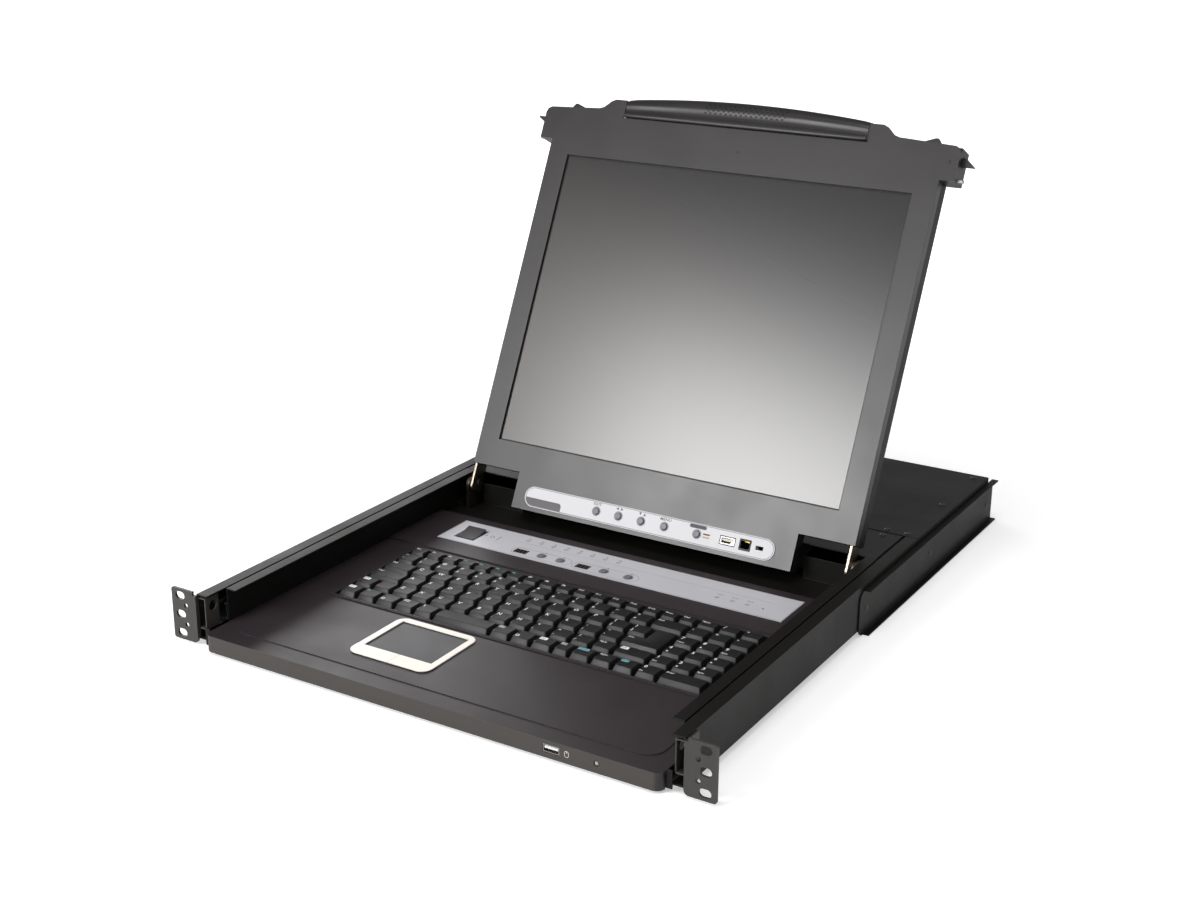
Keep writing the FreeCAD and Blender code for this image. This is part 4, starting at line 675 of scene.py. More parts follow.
# ---- keyboard
KEY_PITCH = 19.05
PAD_PITCH = 19.2
MAIN_UNITS = 14.63
LAST_UNITS = MAIN_UNITS - 13.0
HALF_GAP = 0.65
FUNCTION_DEPTH = 15.2
SPACE_START = 4.95
SPACE_UNITS = 2.85
KEYS_BEFORE_SPACE = 5
ENTER_LOW_UNITS = 12.75
ENTER_HIGH_UNITS = 13.5
# How far a cap tapers at its sides, front and back; the front slopes less on a cap that is less deep.
CAP_HEIGHT = 6.4
CAP_SIDE = 1.7
CAP_FRONT = 4.0
CAP_BACK = 1.5
CAP_DEPTH = 17.0
# Where a legend starts on a cap, and how big each kind of legend is beside a single letter.
LEGEND_LEFT = 2.7
LEGEND_FRONT = 4.5
LEGEND_BACK = 2.0
LEGEND_RISE = 0.02
SECOND_SCALE = 0.5
FILLED_SCALE = 0.46
BOXED_SCALE = 0.62
PAIR_SCALE = 0.78
WORD_SCALE = 0.66
LONG_WORD_SCALE = 0.56
FUNCTION_KEYS = ["Esc"] + ["F%d" % count for count in range(1, 13)] + ["PrtSc", "ScrLk", "Pause", "Del"]
# Widths of a row's keys in units of the pitch, with their legends.
ROW_KEYS = {
    "number": ([1.0] * 13 + [LAST_UNITS],
               ["`~", "1!", "2@", "3#", "4$", "5%", "6^", "7&", "8*", "9(", "0)", "-_", "=+", "Back"]),
    "upper": ([1.5] + [1.0] * 12, ["Tab"] + list("QWERTYUIOP") + ["[{", "]}"]),
    "home": ([1.75] + [1.0] * 11, ["Caps"] + list("ASDFGHJKL") + [";:", "'\""]),
    "lower": ([1.0] * 13 + [LAST_UNITS],
              ["Shift", "\\|"] + list("ZXCVBNM") + [",<", ".>", "/?", "PgUp", "Shift"]),
    "bottom": ([0.95] + [1.0] * 6 + [1.03, 0.8] + [1.0] * 3,
               ["Ctrl", "Fn", "#", "Alt", "\\", "Alt", "#", "Ctrl", "Ins", "Home", "PgDn", "End"]),
}
PAD_KEYS = {"function": ["Num", "/", "*"], "number": [".", "+", "-"],
            "upper": ["7 Home", "8 up", "9 PgUp"], "home": ["4 left", "5", "6 right"],
            "lower": ["1 End", "2 down", "3 PgDn"], "bottom": ["0 Ins", "Enter"]}
ARROWS = {"right": 0.0, "up": 90.0, "left": 180.0, "down": 270.0}
TEAL_KEYS = ("F3", "F4", "F5", "F6", "Fn", "Home", "End")
RED_KEYS = ("\\|",)
BOXED_KEYS = ("Alt", "Ins", "Home", "End")
FILLED_KEYS = ("Ctrl", "Shift")


def key_places(name):
    """(left, width, legend) of each key of a row, in millimetres from the keyboard's left."""
    full = MAIN_UNITS * KEY_PITCH
    places = []
    if name == "function":
        small = full / len(FUNCTION_KEYS)
        places = [(index * small, small, word) for index, word in enumerate(FUNCTION_KEYS)]
    else:
        start = 0.0
        for index, (width, word) in enumerate(zip(*ROW_KEYS[name])):
            if name == "bottom" and index == KEYS_BEFORE_SPACE:
                start = SPACE_START + SPACE_UNITS
            places.append((start * KEY_PITCH, width * KEY_PITCH, word))
            start += width
    for index, word in enumerate(PAD_KEYS[name]):
        wide = PAD_PITCH * (2.0 if word == "Enter" else 1.0)
        places.append((full + index * PAD_PITCH, wide, word))
    return places


def row_front(name):
    """Front edge of a row's share of the keyboard, from its own solids."""
    return low("key_row_" + name).y - HALF_GAP


def cap_skirt(base, top, corner):
    """(height, share of the taper, corner radius, inset) up the skirt of a cap."""
    return [(base, 0.0, 0.7, 0.0), (base + 1.0, 0.02, 0.8, 0.0), (top - 0.5, 0.93, corner, 0.0),
            (top - 0.15, 0.98, corner, 0.0)]


def keycap(shape, x0, x1, y0, y1, base, top, corner):
    """Moulded cap: upright skirt, long front slope, steep sides, and a shallow dished top."""
    front = CAP_FRONT * min(1.0, (y1 - y0) / CAP_DEPTH)
    dish = [(top, 1.08, corner, 0.0), (top - 0.1, 1.1, corner, 0.9), (top - 0.18, 1.1, corner * 0.6, 2.2)]
    shape.skin([rounded(x0 + CAP_SIDE * share + inset, x1 - CAP_SIDE * share - inset,
                        y0 + front * share + inset, y1 - CAP_BACK * share - inset, z, r)
                for z, share, r, inset in cap_skirt(base, top, corner) + dish])


def key_label(shape, word, x0, y0, y1, top, size):
    """Prints a key's legend on its top. Finishes: 1 white, 2 teal, 3 black, 4 red."""
    left = x0 + LEGEND_LEFT
    back = y1 - LEGEND_BACK
    front = y0 + LEGEND_FRONT * min(1.0, (y1 - y0) / CAP_DEPTH)
    z = top + LEGEND_RISE
    under = z - 0.04
    ink = 2 if word in TEAL_KEYS else 4 if word in RED_KEYS else 1
    if word == "#":
        shape.ring(left, left + 3.0, front + 1.6, front + 4.6, 0.5, 0.6, under, z, ink)
    elif word in FILLED_KEYS:
        shape.slab(left, left + 6.4, back - 4.6, back - 0.6, z - 0.06, z - 0.02, ink, 0.5)
        shape.word(word, left + 0.5, back - 3.4, z, size * FILLED_SCALE, 3)
    elif word in BOXED_KEYS:
        boxed = size * BOXED_SCALE
        right = left + letters(word)[2] * boxed
        if word in TEAL_KEYS:
            shape.slab(left - 0.6, right + 0.8, back - 4.0, back - 0.5, z - 0.06, z - 0.02, ink, 0.6)
            shape.word(word, left, back - 3.1, z, boxed, 3)
        else:
            shape.ring(left - 0.5, right + 0.7, back - 3.6, back - 0.4, 0.5, 0.3, under, z, ink)
            shape.word(word, left, back - 2.9, z, boxed, ink)
    elif " " in word:
        digit, second = word.split()
        shape.word(digit, left, back - size * PAIR_SCALE, z, size, ink)
        if second in ARROWS:
            spin = Matrix.Rotation(math.radians(ARROWS[second]), 4, "Z")
            shape.flat(((-1.0, -1.1), (1.1, 0.0), (-1.0, 1.1)), z, ink,
                       Matrix.Translation((left + 1.4, front + 1.8, 0.0)) @ spin)
        else:
            shape.word(second, left - 0.3, front + 0.9, z, size * SECOND_SCALE, ink)
    elif len(word) == 1:
        shape.word(word, left, back - size * PAIR_SCALE, z, size, ink)
    elif len(word) == 2 and word[0] != "F":
        shape.word(word[1], left, back - size * 0.62, z, size * PAIR_SCALE, ink)
        shape.word(word[0], left, front + 0.7, z, size * PAIR_SCALE, ink)
    else:
        scale = WORD_SCALE if len(word) < 4 else LONG_WORD_SCALE
        shape.word(word, left - 0.3, back - size * 0.55, z, size * scale, ink)


def enter_key(shape, key_left, base, top, corner):
    """Tall L shaped key over the home and upper rows."""
    home = row_front("home")
    right = key_left + MAIN_UNITS * KEY_PITCH - HALF_GAP
    low_left = key_left + ENTER_LOW_UNITS * KEY_PITCH + HALF_GAP
    high_left = key_left + ENTER_HIGH_UNITS * KEY_PITCH + HALF_GAP
    front = home + HALF_GAP
    middle = home + KEY_PITCH - HALF_GAP
    back = home + 2.0 * KEY_PITCH - HALF_GAP

    def level(z, share, r):
        side, slope, rear = CAP_SIDE * share, CAP_FRONT * share, CAP_BACK * share
        corners = [(right - side, front + slope), (right - side, back - rear),
                   (high_left + side, back - rear), (high_left + side, middle - rear),
                   (low_left + side, middle - rear), (low_left + side, front + slope)]
        ring = []
        for index, corner_place in enumerate(corners):
            here = Vector(corner_place)
            before = Vector(corners[index - 1])
            after = Vector(corners[(index + 1) % len(corners)])
            one = here + (before - here).normalized() * r
            two = here + (after - here).normalized() * r
            for part in (0.0, 0.33, 0.67, 1.0):
                spot = one.lerp(here, part).lerp(here.lerp(two, part), part)
                ring.append((spot.x, spot.y, z))
        return ring

    rings = [level(z, share, r) for z, share, r, _ in cap_skirt(base, top, corner)]
    shape.skin(rings + [level(top, 1.12, corner)])
    shape.word("Enter", low_left + 2.6, middle - 5.0, top + LEGEND_RISE, 2.3, 1)


class CONSOLE_OT_keys(bpy.types.Operator):
    """Makes the keycaps of every row with their legends"""
    bl_idname = "console.keys"
    bl_label = "Keys"

    def execute(self, context):
        size = context.scene.console_sizes.legend / MM
        corner = context.scene.console_sizes.key_corner / MM
        key_left = low("key_row_number").x - HALF_GAP
        for name in KEY_BODIES:
            cad = "key_row_" + name
            top = high(cad).z
            base = top - CAP_HEIGHT
            y0 = row_front(name) + HALF_GAP
            y1 = row_front(name) + (FUNCTION_DEPTH if name == "function" else KEY_PITCH) - HALF_GAP
            shape = Shape()
            for left, width, word in key_places(name):
                x0 = key_left + left + HALF_GAP
                keycap(shape, x0, x0 + width - 2.0 * HALF_GAP, y0, y1, base, top, corner)
                key_label(shape, word, x0, y0, y1, top, size)
            stands_for = (cad,)
            if name == "home":
                enter_key(shape, key_left, base, top, corner)
                stands_for = (cad, "enter_key")
            shape.piece("keys_" + name, ("key", "ink", "ink_teal", "black", "ink_red"), cad + "_body",
                        stands_for)
        shape = Shape()
        first, last = low("space_bar"), high("space_bar")
        keycap(shape, first.x, last.x, first.y, last.y, last.z - CAP_HEIGHT, last.z, corner)
        shape.piece("keys_space", ("key",), "space_bar_body", ("space_bar",))
        return {"FINISHED"}


# ---- screen face, from the hinge
PANEL_HALF = 168.95
PANEL_FOOT = 42.5
PANEL_HEAD = 312.8
PANEL_FACE = 8.8
BORDER_WIDTH = 1.3


class CONSOLE_OT_screen(bpy.types.Operator):
    """Makes the panel's dark border and viewing face"""
    bl_idname = "console.screen"
    bl_label = "Screen face"

    def execute(self, context):
        face, half, foot, head = PANEL_FACE, PANEL_HALF, PANEL_FOOT, PANEL_HEAD
        lap = BORDER_WIDTH - 0.1
        shape = Shape(on_screen())
        shape.ring(-half, half, foot, head, 0.3, BORDER_WIDTH, face - 0.05, face + 0.25)
        shape.slab(-half + lap, half - lap, foot + lap, head - lap, face - 0.03, face + 0.1, 1, 0.2)
        shape.piece("screen_face", ("black", "panel"), "screen")
        return {"FINISHED"}


# ---- handle, from the hinge
GRIP_HALF = 118.4
GRIP_STEPS = 32
GRIP_FOOT = 352.4
GRIP_HEAD = 371.4
GRIP_ARCH = 6.2
GRIP_FRONT = 14.2
GRIP_BACK = -8.4
# Up the front of the grip: (share of its height, set back from the front).
GRIP_RELIEF = ((0.17, 0.0), (0.27, 1.6), (0.42, 1.9), (0.6, 0.9), (0.8, 2.4), (0.95, 6.0))
# Two plates carry the grip: (half width, foot, head).
GRIP_PLATES = ((145.7, 333.3, 352.6), (119.3, 351.0, 354.6))
GRIP_PLATE_FACE = 8.7
GRILLE_ROWS = 4
GRILLE_COLUMNS = 16
# Where up the grip the grille starts, and how far apart its rows are, as shares of the grip's height.
GRILLE_START = 0.46
GRILLE_STEP = 0.1


def grip_section(share):
    """Outline of the grip at a share of its half length: (up, out) points, their corners cut twice."""
    foot, front, back = GRIP_FOOT, GRIP_FRONT, GRIP_BACK
    head = GRIP_HEAD + GRIP_ARCH * (1.0 - share * share)
    tall = head - foot
    points = [(foot, back), (foot, front - 1.2), (foot + 1.2, front)]
    points += [(foot + tall * share_up, front - behind) for share_up, behind in GRIP_RELIEF]
    points += [(head, front - 11.0), (foot + tall * 0.97, back + 4.0), (foot + tall * 0.8, back)]
    for _ in range(2):
        cut = []
        for index, point in enumerate(points):
            after = points[(index + 1) % len(points)]
            for near, far in ((0.75, 0.25), (0.25, 0.75)):
                cut.append(tuple(a * near + b * far for a, b in zip(point, after)))
        points = cut
    return points


def grip_face(x, height):
    """Place and outward direction on the front of the grip, at a share of its height."""
    outline = grip_section(x / GRIP_HALF)
    foot = min(u for u, _ in outline)
    head = max(u for u, _ in outline)
    u = foot + (head - foot) * height
    for (u0, n0), (u1, n1) in zip(outline, outline[1:] + outline[:1]):
        if u0 <= u <= u1 and min(n0, n1) > 2.0:
            way = Vector((0.0, n0 - n1, u1 - u0)).normalized()
            return Vector((x, u, n0 + (n1 - n0) * (u - u0) / (u1 - u0))), way
    raise RuntimeError("the grip has no front at that height")


class CONSOLE_OT_handle(bpy.types.Operator):
    """Makes the arched grip with its grille, whose small holes are black discs of painted shade"""
    bl_idname = "console.handle"
    bl_label = "Handle"

    def execute(self, context):
        place = on_screen()
        shape = Shape(place)
        rings = []
        for step in range(GRIP_STEPS + 1):
            share = -1.0 + 2.0 * step / GRIP_STEPS
            outline = grip_section(share)
            middle_u = sum(u for u, _ in outline) / len(outline)
            middle_n = sum(n for _, n in outline) / len(outline)
            fade = min(1.0, (1.0 - abs(share)) * GRIP_STEPS / 2.0 + 0.94)
            rings.append([(GRIP_HALF * share, middle_u + (u - middle_u) * fade,
                           middle_n + (n - middle_n) * fade) for u, n in outline])
        shape.skin(rings)
        for half, foot, head in GRIP_PLATES:
            shape.slab(-half, half, foot, head, GRIP_BACK, GRIP_PLATE_FACE)
        shape.piece("handle_grip", ("grip",), "screen", ("handle_bar",), 50.0)
        pitch = context.scene.console_sizes.hole_pitch / MM
        spots = []
        for row in range(GRILLE_ROWS):
            for column in range(GRILLE_COLUMNS):
                x = (column - (GRILLE_COLUMNS - 1) / 2.0) * pitch + (row % 2) * pitch / 2.0
                spot, out = grip_face(x, GRILLE_START + row * GRILLE_STEP)
                spots.append((place @ (spot * MM), place.to_3x3() @ out))
        # The grille's holes are not cut: black pegs on the grip's face are painted shade in their place.
        repeat("handle_grille_shade_discs", "peg", spots, {"Radius": 1.05 * MM, "Length": 0.5 * MM}, ("black",),
               "screen")
        return {"FINISHED"}


# ---- strip below the screen, from the hinge
OSD_FACE = 12.25
OSD_MIDDLE = -2.2
# The buttons, left to right: exit, left and right, up and down, menu, and apart from them the power.
OSD_BUTTONS = (-51.8, -29.2, -6.4, 16.8, 48.6)
OSD_ENDS = (-126.4, 121.4)
# The short bars beside the power button: (height over the middle line, finish number).
OSD_BARS = ((0.6, 1), (-2.0, 3))
BUTTON_RING = (3.3, 4.3)
FLAT_SOCKET = 78.0
JACK = 94.6
# A flat socket's four contacts, counted from its middle, with their pitch and half width.
FLAT_CONTACTS = (-3.5, 2.33, 0.5)
JACK_CONTACTS = (-2.55, 1.02, 0.15)
TONGUE_HALF = 5.5


def arc(cx, cy, r, degrees):
    """Points on a circle at whole degrees."""
    turns = [math.radians(turn) for turn in degrees]
    return [(cx + r * math.cos(turn), cy + r * math.sin(turn)) for turn in turns]


class CONSOLE_OT_osd(bpy.types.Operator):
    """Makes the border, rings and plain signs of the strip below the screen, and its sockets' tongue,
    contacts and rings of painted shade round their mouths
    """
    bl_idname = "console.osd"
    bl_label = "Screen button strip"

    def execute(self, context):
        mid = OSD_MIDDLE
        under, over = OSD_FACE - INK_SUNK, OSD_FACE + INK_RISE
        shape = Shape(on_screen())
        shape.ring(*OSD_ENDS, mid - 8.7, mid + 8.7, 8.6, 0.7, under, over)
        tab = arc(-117.8, mid, 8.1, range(187, 271, 12)) + [(-88.0, mid - 8.1)]
        tab += arc(-91.0, mid - 4.0, 3.0, range(0, 91, 15))
        shape.flat(tab, over + 0.02, 2)
        leave, sideways, upright, menu, power = OSD_BUTTONS
        for x in OSD_BUTTONS:
            shape.washer(x, mid, *BUTTON_RING, under, over + 0.1)
        for text, x in (("EXIT", leave), ("MENU", menu)):
            shape.word(text, x, mid + 5.1, over, 3.5, 1, True, 1.15)
        # A pair of arrows side by side points left and right over one button, up and down over the next.
        for x, turn, apart, ahead in ((sideways, 0.0, 0.0, 2.4), (upright, math.pi / 2.0, 2.2, 0.0)):
            for side in (0.0, math.pi):
                spin = Matrix.Translation((x + apart * math.cos(side), mid + 6.3, 0.0)) \
                    @ Matrix.Rotation(turn + side, 4, "Z")
                shape.flat(((ahead - 1.3, -1.2), (ahead + 1.3, 0.0), (ahead - 1.3, 1.2)), over, 1, spin)
        shape.slab(*about(power, mid + 6.4, 8.0, 1.4), under, over, 1, 1.3)
        shape.ring(*about(power, mid + 6.4, 8.4, 1.8), 1.6, 0.3, under, over)
        for line, mark in OSD_BARS:
            shape.slab(54.5, 61.0, mid + line, mid + line + 1.3, under, over, mark, 0.3)
        shape.piece("osd_marks", ("rim", "ink_dark", "tab", "ink_amber"), "screen")
        inside = Shape(on_screen())
        inside.slab(*about(FLAT_SOCKET, mid + 0.9, TONGUE_HALF, 0.8), 0.4, 11.4, 2)
        start, pitch, half = FLAT_CONTACTS
        inside.row(FLAT_SOCKET + start, pitch, 4, half, mid - 0.1, mid + 0.1, 3.0, 11.0)
        # A black ring round the flat socket's mouth is painted shade where the hole's edge falls dark.
        inside.ring(*about(FLAT_SOCKET, mid, 7.5, 3.9), 0.6, 1.0, OSD_FACE - 0.5, OSD_FACE + 0.05)
        start, pitch, half = JACK_CONTACTS
        inside.row(JACK + start, pitch, 6, half, mid + 2.6, mid + 3.4, 1.0, 8.0)
        # A black ring round the jack's mouth is painted shade as well.
        inside.ring(*about(JACK, mid, 5.4, 4.9), 0.4, 1.2, OSD_FACE - 0.5, OSD_FACE + 0.12)
        inside.piece("screen_socket_contacts_and_shade_rings", ("black", "gold", "lens"), "screen")
        return {"FINISHED"}


# ---- control strip
PORT_LAMPS = [-93.4 + index * 13.1 for index in range(8)]
PORT_LAMP_ROW = 279.6
STATUS_LAMPS = (102.5, 116.5, 130.0)
STATUS_LAMP_ROW = 261.0
BUTTON_FRAMES = ((-95.0, -35.0), (-33.5, 31.0))
BUTTON_FRAME_Y = (249.6, 264.0)
RULED_LINE = (-100.0, 150.0, 273.9, 274.15)
STATUS_BAR_ROW = 267.25
# Right of the rocker stand its stroke and ring signs, and then a divider.
SIGN_ROW = 270.5
STROKE_SIGN = -131.15
RING_SIGN = -125.0
DIVIDER = -118.2
DIGITS = [display + side for display in (-85.5, -23.0) for side in (-3.1, 3.1)]
DIGIT_ROW = 256.8
# The seven segments of a digit: (across, along, half width, half length) from its middle.
SEGMENTS = [(0.0, along, 1.3, 0.3) for along in (-3.2, 0.0, 3.2)]
SEGMENTS += [(across, along, 0.3, 1.2) for across in (-1.8, 1.8) for along in (-1.6, 1.6)]


class CONSOLE_OT_control(bpy.types.Operator):
    """Makes the lamps, displays, numbers and lines of the silver control strip"""
    bl_idname = "console.control"
    bl_label = "Control strip"

    def execute(self, context):
        first, last = low("control_strip"), high("control_strip")
        under, over = last.z - INK_SUNK, last.z + INK_RISE
        shape = Shape()
        shape.ring(first.x + 0.5, last.x - 0.5, first.y + 0.5, last.y - 0.5, 0.4, 0.35, under, over)
        for index, x in enumerate(PORT_LAMPS):
            shape.washer(x, PORT_LAMP_ROW, 1.5, 2.0, under, over + 0.02, 0, 16)
            shape.word("%02d" % (index + 1), x, PORT_LAMP_ROW + 3.3, over, 2.4, 1, True)
        shape.slab(*RULED_LINE, under, over)
        for x0, x1 in BUTTON_FRAMES:
            shape.ring(x0, x1, *BUTTON_FRAME_Y, 7.0, 0.4, under, over)
        for index in range(4):
            x, y, _ = centre("panel_button_%d" % (index + 1))
            shape.washer(x, y, 3.65, 4.5, under, over + 0.1)
            way = 1 if index % 2 else -1
            shape.flat(((x - way, y + 6.2), (x + way, y + 7.2), (x - way, y + 8.2))[::way], over, 1)
        for x in STATUS_LAMPS:
            shape.washer(x, STATUS_LAMP_ROW, 1.4, 1.9, under, over + 0.02, 0, 16)
            shape.slab(*about(x, STATUS_BAR_ROW, 3.0, 0.25), under, over, 1)
        shape.slab(*about(DIVIDER, SIGN_ROW, 0.3, 4.5), under, over, 1)
        shape.washer(RING_SIGN, SIGN_ROW, 1.7, 2.1, under, over, 1, 18)
        shape.slab(*about(STROKE_SIGN, SIGN_ROW, 0.25, 1.9), under, over, 1)
        shape.piece("control_marks", ("rim", "ink_dark"), "drawer")
        lamps = [(x, PORT_LAMP_ROW) for x in PORT_LAMPS] + [(x, STATUS_LAMP_ROW) for x in STATUS_LAMPS]
        repeat("control_lamps", "peg", [(at(x, y, last.z - 0.1), UP) for x, y in lamps],
               {"Radius": 1.35 * MM, "Length": 0.6 * MM}, ("lens",), "drawer")
        face = high("led_displays").z
        under, over = face - INK_SUNK, face + INK_RISE
        digits = Shape()
        for middle in DIGITS:
            for across, along, wide, tall in SEGMENTS:
                digits.slab(*about(middle + across, DIGIT_ROW + along, wide, tall), under, over)
        digits.piece("display_segments", ("segment",), "drawer")
        return {"FINISHED"}


# ---- deck
LIP_LAMP = (153.0, -14.0)
MOUSE_MARK = 129.2
RIM_MARK = 142.0


class CONSOLE_OT_deck(bpy.types.Operator):
    """Makes the front socket's tongue, the lamp and sign on the lip, and the mark on the keyboard's rim"""
    bl_idname = "console.deck"
    bl_label = "Deck details"

    def execute(self, context):
        x, _, z = centre("front_usb_socket")
        mouth = low("front_usb_socket").y
        start, pitch, half = FLAT_CONTACTS
        inner = Shape()
        inner.slab(x - TONGUE_HALF, x + TONGUE_HALF, mouth + 0.25, mouth + 12.6, z - 0.2, z + 1.7, 2)
        inner.row(x + start, pitch, 4, half, mouth + 1.2, mouth + 9.0, z - 0.4, z - 0.2)
        inner.slab(x - 6.0, x + 6.0, mouth + 12.4, mouth + 12.8, z - 2.3, z + 2.3)
        inner.piece("front_socket_contacts", ("black", "gold", "ink"), "drawer")
        front = low("palm_rest").y
        lip = Shape(Matrix.Translation((0.0, front * MM, 0.0)) @ Matrix.Rotation(math.pi / 2.0, 4, "X"))
        lip.washer(*LIP_LAMP, 1.8, 2.3, -INK_SUNK, 0.04, 0, 18)
        lip.skin([circle(*LIP_LAMP, z, 1.75 - inset, 18) for z, inset in soft_levels(-1.4, -0.6, 0.3)], 1)
        lip.ring(MOUSE_MARK - 1.8, MOUSE_MARK + 1.8, -16.4, -11.6, 1.6, 0.3, -INK_SUNK, INK_RISE, 2)
        lip.slab(MOUSE_MARK - 0.15, MOUSE_MARK + 0.15, -13.4, -11.8, -INK_SUNK, INK_RISE, 2)
        lip.piece("lip_marks", ("black", "lens", "ink"), "drawer")
        rim = high("keyboard_base")
        marks = Shape()
        marks.flat(((rim.x - 3.2, RIM_MARK - 2.0), (rim.x - 0.6, RIM_MARK), (rim.x - 3.2, RIM_MARK + 2.0)),
                   rim.z + INK_RISE)
        marks.piece("rim_marks", ("ink",), "drawer")
        return {"FINISHED"}


# ---- rear connectors
COMPUTER_PORTS_X = (-150.0, -109.0, -68.0, -27.0)
COMPUTER_PORTS_Z = (7.5, -7.5)
PORT_HALF = 10.5
LINK_PORT_X = 32.0
LINK_PORT_HALF = 21.5
CONSOLE_PORT_X = 76.0
USB_STACK_X = 104.0
USB_STACK_Z = (3.53, -3.53)
INLET_PINS = ((168.0, 3.0), (161.0, -1.0), (175.0, -1.0))
CONTACT_PITCH = 2.29
CONTACT_ROW_PITCH = 1.98
SHELL_DEPTH = 5.6


class CONSOLE_OT_rear(bpy.types.Operator):
    """Makes the moulded faces and contacts of the connectors on the rear panel"""
    bl_idname = "console.rear"
    bl_label = "Rear connectors"

    def execute(self, context):
        panel = high("rear_case").y
        mouth = panel + SHELL_DEPTH
        # The shape is drawn on a plane that faces the rear, where its second axis runs down.
        face = Shape(Matrix.Translation((0.0, mouth * MM, 0.0)) @ Matrix.Rotation(-math.pi / 2.0, 4, "X"))
        ports = [(x, z, PORT_HALF, 3, 5, 0) for z in COMPUTER_PORTS_Z for x in COMPUTER_PORTS_X]
        ports += [(LINK_PORT_X, 0.0, LINK_PORT_HALF, 2, 17, 0), (CONSOLE_PORT_X, 0.0, PORT_HALF, 3, 5, 1)]
        contacts = []
        for x, z, half, rows, columns, paint in ports:
            top, foot = half - 1.1, half - 2.5
            face.flat(((x - top, -z - 3.2), (x + top, -z - 3.2), (x + foot, 3.2 - z), (x - foot, 3.2 - z)),
                      0.04, paint)
            for row in range(rows):
                level = z + (row - (rows - 1) / 2.0) * CONTACT_ROW_PITCH
                stagger = 0.3 if row % 2 else -0.3
                for column in range(columns):
                    across = (column - (columns - 1) / 2.0) * CONTACT_PITCH + stagger
                    contacts.append((at(x + across, mouth, level), REAR))
        for x, level in INLET_PINS:
            face.slab(*about(x, -level, 1.0, 2.0), panel - 15.5 - mouth, panel - 2.0 - mouth, 2, 0.3, 0.5)
        for level in USB_STACK_Z:
            face.slab(*about(USB_STACK_X, -level - 0.7, TONGUE_HALF, 0.8), panel - 12.0 - mouth,
                      panel + 0.2 - mouth, 3)
        face.piece("rear_connector_faces", ("black", "blue", "tin", "ink"), "chassis")
        repeat("rear_contacts", "peg", contacts, {"Radius": 0.42 * MM, "Length": 0.16 * MM}, ("gold",),
               "chassis")
        return {"FINISHED"}


# ---- fasteners
COVER_SCREWS_X = (-204.8, -186.6, 0.0, 186.6, 204.8)
WEB_SCREWS = ((297.0, -2.0), (435.0, -3.6), (575.0, -5.5))
BEZEL_SCREW_FACE = 11.35


class CONSOLE_OT_fasteners(bpy.types.Operator):
    """Makes the screw heads of the covers, rails, brackets and hinges"""
    bl_idname = "console.fasteners"
    bl_label = "Fasteners"

    def execute(self, context):
        place = on_screen()
        out = place.to_3x3() @ UP
        chassis, drawer, screen = [], [], []
        cover = high("rear_cover").z
        for x in COVER_SCREWS_X:
            chassis.append((at(x, 411.5, cover), UP))
            if abs(x) > 200.0:
                chassis += [(at(x, 572.0, cover), UP), (at(x, 492.0, cover), UP)]
        for side in (-1.0, 1.0):
            web = side * (high("side_channel_right").x + 1.2)
            chassis += [(at(web, y, z), Vector((side, 0.0, 0.0))) for y, z in WEB_SCREWS]
            drawer.append((at(side * 188.0, 398.0, high("hinge_cover").z), UP))
            screen.append((place @ at(side * 194.5, 342.0, BEZEL_SCREW_FACE), out))
        screen.append((place @ at(2.0, 331.4, BEZEL_SCREW_FACE), out))
        # The heads take the ears' paler coat with its painted highlight, and their recesses black painted
        # shade.
        inks = ("ear", "black")
        repeat("chassis_screws", "screw", chassis, SCREW_HEAD, inks, "chassis")
        repeat("drawer_screws", "screw", drawer, SCREW_HEAD, inks, "drawer")
        repeat("screen_screws", "screw", screen, SMALL_SCREW_HEAD, inks, "screen")
        return {"FINISHED"}


# ---- stage
WHITE = (1.0, 1.0, 1.0, 1.0)
PAPER = (0.86, 0.86, 0.86, 1.0)
FLOOR_REACH = 12.0
# How bright the paper looks in a mirror, and the room's plain light.
PAPER_IN_MIRRORS = 0.22
ROOM_LIGHT = 0.34
# (name, place, aim, size, power)
LAMPS = (("key light", (0.2, -0.6, 2.9), (0.0, 0.2, 0.0), (1.4, 1.4), 33.0),
         ("front softbox", (-0.82, -1.56, 1.02), (0.05, 0.4, 0.13), (0.84, 0.62), 28.0),
         ("low rear softbox", (-1.78, 1.66, 0.82), (-0.12, 0.1, 0.0), (1.1, 0.7), 10.5))
CAMERA_LENS = 52.803
CAMERA_PLACE = (0.69954, -0.90691, 0.58220)
# The camera's right, up and back directions.
CAMERA_AXES = ((0.85383, 0.52052, 0.00557), (-0.17784, 0.28164, 0.94290), (0.48922, -0.80607, 0.33304))


